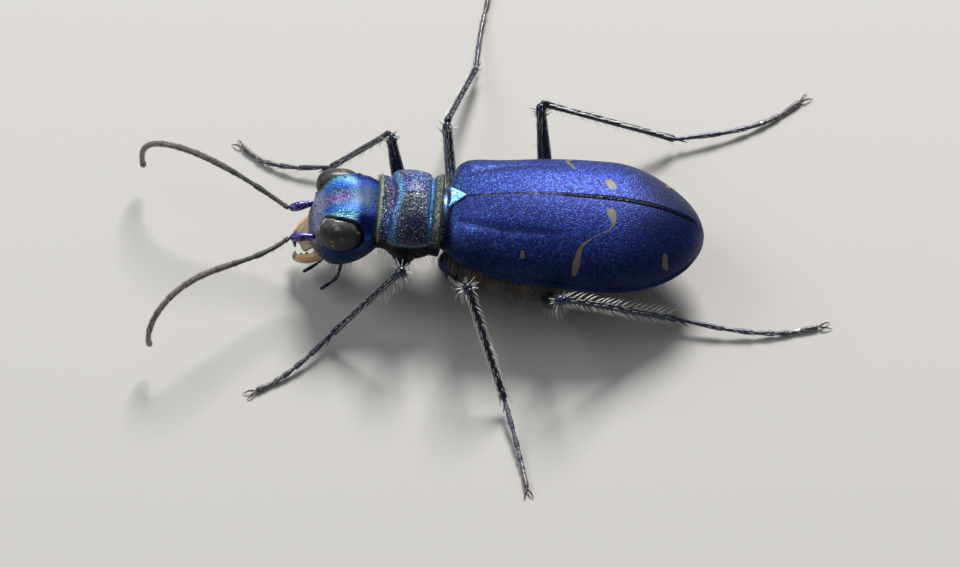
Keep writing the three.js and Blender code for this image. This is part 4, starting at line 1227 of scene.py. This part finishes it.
# %% Feet and claws
def foot(name, at):
    """Five joints, each rooted a little inside the one before, and two claws."""
    parts, tone = [], []
    for i, (start, end) in enumerate(zip(at["toes"], at["toes"][1:])):
        inside = start + unit(start - end) * FOOT_OVERLAP
        tube, share = limb(curve([inside, end], 24), [0, 0.3, 0.88, 1], TARSUS_RADII, 16)
        parts.append(tube)
        tone.append(0.2 * i + 0.15 * share)
    toe, yaw = at["toes"][-1], at["yaw"]
    for splay in (-CLAW_SPLAY, CLAW_SPLAY):
        middle = toe + heading(yaw + splay, 6) * 0.2
        tip = toe + heading(yaw + 0.8 * splay, -8) * CLAW_LENGTH - [0, 0, 0.01]
        parts.append(limb(curve([toe, middle, tip], 20), [0, 0.5, 1], CLAW_RADII, 10)[0])
        tone.append(1.0)
    tubes("foot_" + name, parts, foot_finish, "foot", ["tarsus_" + name], {"along": tone})


# %% Limbs of the legs
for name, at in legs.items():
    out = at["hip"] - at["coxa"]
    coxa_path = limb_path([at["coxa"] - 0.25 * out, at["hip"] + 0.05 * out], 20, 1, 0.2)
    coxa, _ = limb(coxa_path, [0, 0.5, 1], COXA_RADII, 24, up=(1, 0, 0))
    joint_end = at["hip"] + heading(*LEG_POSE[name][0]) * 0.35
    joint_path = limb_path([at["hip"] - 0.1 * out, joint_end], 14, 1, 0.25)
    trochanter, _ = limb(joint_path, [0, 0.5, 1], TROCHANTER_RADII)
    tubes("coxa_cone_" + name, [coxa, trochanter], underside_finish, "underside", ["coxa_" + name])
    femur_path = limb_path([at["hip"], at["sag"], at["knee"]], 60, 3, 0.15)
    femur, share = limb(femur_path, [0, 0.3, 0.6, 0.9, 1], FEMUR_RADII[name.split("_")[1]], 24)
    tubes("thigh_" + name, [femur], leg_finish, "leg", ["femur_" + name],
          {"along": [0.6 * smooth(share, 0.85, 1)]})
    tibia_path = limb_path([at["knee"], at["ankle"]], 50, 3.5, 0.12)
    tibia, share = limb(tibia_path, [0, 0.12, 0.5, 0.85, 1], TIBIA_RADII)
    way = unit(at["toes"][1] - at["ankle"])
    spurs = []
    for turn in (-1, 1):
        aside = np.cross(way, [0, 0, 1]) * SPUR_SPREAD * turn
        tip = at["ankle"] + way * SPUR_LENGTH + aside - [0, 0, SPUR_DROP]
        spurs.append(limb(curve([at["ankle"] + way * 0.02, tip], 10), [0, 0.6, 1], SPUR_RADII, 8)[0])
    tubes("shin_" + name, [tibia] + spurs, leg_finish, "leg", ["tibia_" + name],
          {"along": [0.25 + 0.5 * share, 1.0, 1.0]})
    foot(name, at)

# %% [markdown]
# ## Bristles and hair
# Stiff white bristles are what makes the legs of a tiger beetle look frosted. They grow in rows along the
# shins, lie towards the foot and stand out in a tuft at each knee. Softer long hair hangs from the flanks.
# Every one is a thin tapered blade of real mesh. A single function bends thousands of them at once, and
# gives each its own small patch on a map that unwraps the skin it grows from.

# %% Finishes of bristles and hair
def hair_material(name, scale, detail, dark, light, **inputs):
    made, tree, shader = finish(name, **inputs)
    shades = clouds(tree, scale, detail)
    dress(tree, shader, shades, 0.2, 3, Base_Color=ramp(tree, shades, [(0.3, *dark), (0.7, *light)]))
    return made


bristle_finish = hair_material("white bristle", 3000.0, 2.0, (168, 166, 160), (244, 243, 238), Roughness=0.4,
                               Specular_IOR_Level=0.6)
hair_finish = hair_material("grey flank hair", 2200.0, 3.0, (58, 52, 48), (122, 114, 106), Roughness=0.5)

# %% Bristles as mesh
MAP_PATCH = 0.0015
BLADE_CORNERS = np.radians((0, 120, 240))
FLOOR_CLEARANCE = 0.003


def blade_faces(steps):
    """Faces of one blade: its root, the sides of each step and the point."""
    faces, top = [[2, 1, 0]], 3 * (steps - 1)
    for start in range(0, top, 3):
        faces += [[start + a, start + b, start + 3 + b, start + 3 + a] for a, b in ((0, 1), (1, 2), (2, 0))]
    return faces + [[top, top + 1, top + 3], [top + 1, top + 2, top + 3], [top + 2, top, top + 3]]


def bristles(name, roots, aims, lengths, radii, curls, places, material=bristle_finish, slot="bristle",
             steps=3):
    """Tapered three-sided blades; curls shift each tip, and places are the roots on the unwrapped skin."""
    aims = unit(aims)
    first = unit(np.cross(aims, np.where(np.abs(aims[:, 2:]) > 0.9, [[1.0, 0, 0]], [[0, 0, 1.0]])))
    second = np.cross(aims, first)
    points, spots = [], []
    for t in np.arange(steps) / steps:
        middle = roots + aims * (lengths * t)[:, None] + curls * t * t
        radius = (radii * (1 - t) ** 0.6)[:, None]
        for c, s in zip(np.cos(BLADE_CORNERS), np.sin(BLADE_CORNERS)):
            points.append(middle + (first * c + second * s) * radius)
            spots.append(places + MAP_PATCH * (1 - t) * np.array([c, s]))
    points.append(roots + aims * lengths[:, None] + curls)
    spots.append(places)
    points, spots = np.stack(points, 1), np.stack(spots, 1)
    points[..., 2] = np.maximum(points[..., 2], FLOOR_CLEARANCE)
    starts = range(0, points.shape[0] * points.shape[1], points.shape[1])
    faces = [[start + v for v in face] for start in starts for face in blade_faces(steps)]
    made = piece(name, in_frame(points.reshape(-1, 3)), faces, material, slot)
    skin_map = made.data.uv_layers.new(name="OFBake")
    corner = np.empty(len(made.data.loops), np.int32)
    made.data.loops.foreach_get("vertex_index", corner)
    skin_map.data.foreach_set("uv", spots.reshape(-1, 2)[corner].astype(np.float32).ravel())


def on_map(share):
    """A share from 0 to 1 as a place on the map, a little in from its borders."""
    return 0.02 + 0.96 * share


# %% [markdown]
# A row of bristles on a limb needs little: how far round the limb it runs, where it starts and ends, how
# many bristles it has, how long they are and how far they lean out. The angle round a limb is counted from
# its upper side, and the row's bristles get small random changes so that none look copied.

# %% Rows of bristles on limbs
MAP_TURN = 7.0


def row_of(path, radius, turn, span, count, length, lean, thickness, spread=12, droop=0.0, loose=1.0):
    """Roots, aims, lengths, radii, curls and places of one row along a path; a comb is less loose."""
    t = np.sort(np.linspace(*span, count) + rng.normal(0, 0.3 * loose * (span[1] - span[0]) / count, count))
    t = np.clip(t, 0.01, 0.99)
    centre, d, u, w = (at_shares(values, t) for values in (path, *sides_of(path)))
    a = np.radians(turn + rng.normal(0, spread * loose, count))[:, None]
    out = u * np.cos(a) + w * np.sin(a)
    lean = np.radians(lean + rng.normal(0, 7 * loose, count))[:, None]
    aims = d * np.cos(lean) + out * np.sin(lean)
    lengths = length * (1 + loose * rng.uniform(-0.2, 0.15, count))
    curls = (d - out) * (0.12 * lengths)[:, None] + np.array([0, 0, -1.0]) * (droop * lengths)[:, None]
    places = np.stack([on_map(t), (0.5 + a[:, 0] / MAP_TURN) % 1], -1)
    return centre + out * radius * 0.85, aims, lengths, np.full(count, thickness), curls, places


def grow(name, rows, slot="bristle"):
    bristles(name, *(np.concatenate(parts) for parts in zip(*rows)), slot=slot)


SHIN_ROWS = {
    # turn round the shin, start and end, count, length, lean, thickness, looseness
    "fore": [(80, (0.04, 0.95), 20, 0.17, 26, 0.012, 0.6), (40, (0.05, 0.95), 15, 0.14, 18, 0.011, 0.7),
             (-70, (0.05, 0.95), 18, 0.17, 28, 0.012, 0.6), (-30, (0.05, 0.95), 14, 0.14, 18, 0.011, 0.7),
             (-130, (0.02, 0.3), 34, 0.5, 62, 0.007, 1.0), (-110, (0.25, 0.9), 22, 0.3, 36, 0.008, 1.0),
             (150, (0.05, 0.9), 20, 0.26, 38, 0.008, 1.0)],
    "mid": [(88, (0.05, 0.97), 19, 0.26, 28, 0.034, 0.3), (50, (0.03, 0.97), 12, 0.2, 20, 0.014, 0.6),
            (-72, (0.03, 0.97), 20, 0.28, 34, 0.02, 0.4), (-100, (0.5, 0.97), 46, 0.26, 40, 0.009, 1.0),
            (-20, (0.05, 0.97), 11, 0.18, 20, 0.011, 0.6), (180, (0.05, 0.97), 24, 0.26, 36, 0.008, 1.0)],
    "hind": [(-38, (0.05, 0.9), 19, 0.44, 40, 0.03, 0.4), (-8, (0.03, 0.95), 14, 0.22, 20, 0.013, 0.7),
             (40, (0.05, 0.97), 13, 0.2, 20, 0.011, 0.7), (100, (0.04, 0.97), 24, 0.32, 60, 0.014, 0.5),
             (130, (0.03, 0.97), 27, 0.3, 50, 0.010, 0.8), (-150, (0.03, 0.97), 24, 0.28, 40, 0.008, 1.0)],
}
KNEE_TUFT = ((0, (0.93, 0.985), 0.36, 74, 0.025), (18, (0.88, 0.93), 0.28, 58, 0.018))

# %% Bristles of the legs
SHIN_RADIUS, THIGH_RADIUS, KNEE_RADIUS, JOINT_RADIUS = 0.1, 0.17, 0.13, 0.07


def leg_rows(name, at):
    """All rows of one leg: the shin, the thigh with its long fringe and its knee tuft, and the foot."""
    hand, pair = name.split("_")
    shin, thigh = curve([at["knee"], at["ankle"]], 60), curve([at["hip"], at["sag"], at["knee"]], 60)
    side = 1 if hand == "left" else -1
    for turn, span, count, length, lean, thick, loose in SHIN_ROWS[pair]:
        yield row_of(shin, SHIN_RADIUS, side * turn, span, count, length, lean, thick, loose=loose)
    for turn in range(0, 360, 45):
        yield row_of(thigh, THIGH_RADIUS, turn, (0.1, 0.9), count=24, length=0.17, lean=24, thickness=0.008,
                     spread=8)
    yield row_of(thigh, THIGH_RADIUS, 180, (0.1, 0.95), count=30, length=0.5, lean=60, thickness=0.006,
                 spread=25, droop=0.2)
    for spin in range(0, 360, 36):
        if pair == "hind" and math.cos(math.radians(spin)) > 0.6:
            continue
        for shift, span, length, lean, thick in KNEE_TUFT:
            yield row_of(thigh, KNEE_RADIUS, spin + shift, span, 1, length, lean, thick)
    for turn in (-90, -30, 30, 90, 180):
        for start, end in zip(at["toes"], at["toes"][1:]):
            yield row_of(curve([start, end], 20), JOINT_RADIUS, turn, (0.25, 0.95), count=5, length=0.17,
                         lean=34, thickness=0.006, spread=20)


groups = {"left": [], "right": []}
for name, at in legs.items():
    groups[name.split("_")[0]] += leg_rows(name, at)
for hand, rows in groups.items():
    grow("leg_bristles_" + hand, rows)

# %% [markdown]
# The flanks carry long, soft, grey-white hair that hangs down and back. Its roots are drawn at random from
# the grid of the hull, the drum or the head, and its aim is the skin's own normal, pulled down and back.

# %% Hair of the flanks
def coat(name, grid, weight, count, length, thickness, lay, droop=0.35, steps=4):
    """Hair over a grid in trunk axes; weight says how likely each point is to carry one."""
    n = normals(grid)
    n = n * np.sign(((grid - grid.mean(1, keepdims=True)) * n).sum(-1, keepdims=True))
    pick = rng.choice(weight.size, count, p=(weight / weight.sum()).reshape(-1))
    rows, cols = np.unravel_index(pick, weight.shape)
    roots = upright(grid[rows, cols] + rng.normal(0, 0.012, (count, 3)))
    aims = upright(n[rows, cols]) - upright(np.zeros(3)) + np.asarray(lay) + rng.normal(0, 0.14, (count, 3))
    lengths = length * rng.uniform(0.6, 1.15, count)
    curls = np.array([0.25, 0, -1.0]) * (droop * lengths)[:, None] + rng.normal(0, 0.03, (count, 3))
    places = np.stack([on_map(rows / weight.shape[0]), on_map(cols / weight.shape[1])], -1)
    bristles(name, roots, aims, lengths, np.full(count, thickness), curls, places, hair_finish, steps=steps)


hull_x, hull_low, drum_low = hull[..., 0], -hull[..., 2], -drum[..., 2]
flank = smooth(hull_low, 1.75, 1.95) * (1 - smooth(hull_low, 2.45, 2.62)) * smooth(hull_x, -4.3, -3.8)
flank = flank * (1 - 0.85 * smooth(hull_x, -1.6, -0.6)) * (1 - smooth(hull_x, 1.5, 2.8))
coat("flank_hair", hull, flank, count=4200, length=0.68, thickness=0.006, lay=(0.35, 0, -0.6))
collar = smooth(drum_low, 1.5, 1.7) * (1 - smooth(drum_low, 2.2, 2.4))
coat("thorax_side_hair", drum, collar, count=260, length=0.34, thickness=0.004, lay=(0.2, 0, -0.5))
from_rim = drum[..., 0] - DRUM[0, 0]
rim = (bump(from_rim - 0.06, 0.05) + 0.8 * bump(from_rim - 1.92, 0.05)) * smooth(-drum_low, -1.9, -1.5)
coat("thorax_rim_hair", drum, rim, count=300, length=0.14, thickness=0.004, lay=(-0.6, 0, 0.1),
     droop=0.05, steps=3)
jowl = smooth(-skull[..., 2], 2.3, 2.6) * smooth(-skull[..., 0], 6.9, 7.2)
coat("cheek_hair", turned(skull), jowl, count=160, length=0.34, thickness=0.004, lay=(-0.2, 0, -0.4),
     droop=0.1, steps=3)

# %% [markdown]
# The dull joints of the feelers wear a coat of very short down, with a few longer hairs on the shiny ones.
# The same rows as on the legs make both.

# %% Down of the feelers
for hand, whip in feelers.items():
    rows = [row_of(whip, 0.09, turn, (0.36, 0.99), count=120, length=0.09, lean=38, thickness=0.004,
                   spread=15) for turn in range(0, 360, 45)]
    rows += [row_of(whip, 0.06, turn, (0.01, 0.35), count=15, length=0.2, lean=62, thickness=0.007,
                    spread=30) for turn in range(0, 360, 90)]
    grow("feeler_down_" + hand, rows, "feeler")

# %% [markdown]
# ## Sizes
# The box of the dressed beetle is set against the box of its solids, and how far it grows past that box
# at each side is printed. The dressed beetle has to stay in the box of its solids, apart from a little at
# each side.

# %% Compare the boxes
dressed_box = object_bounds()
growth = [[round(1000 * (d - s), 3) for d, s in zip(dc, sc)] for dc, sc in zip(dressed_box, solid_box)]
print("grown by", growth, "mm")
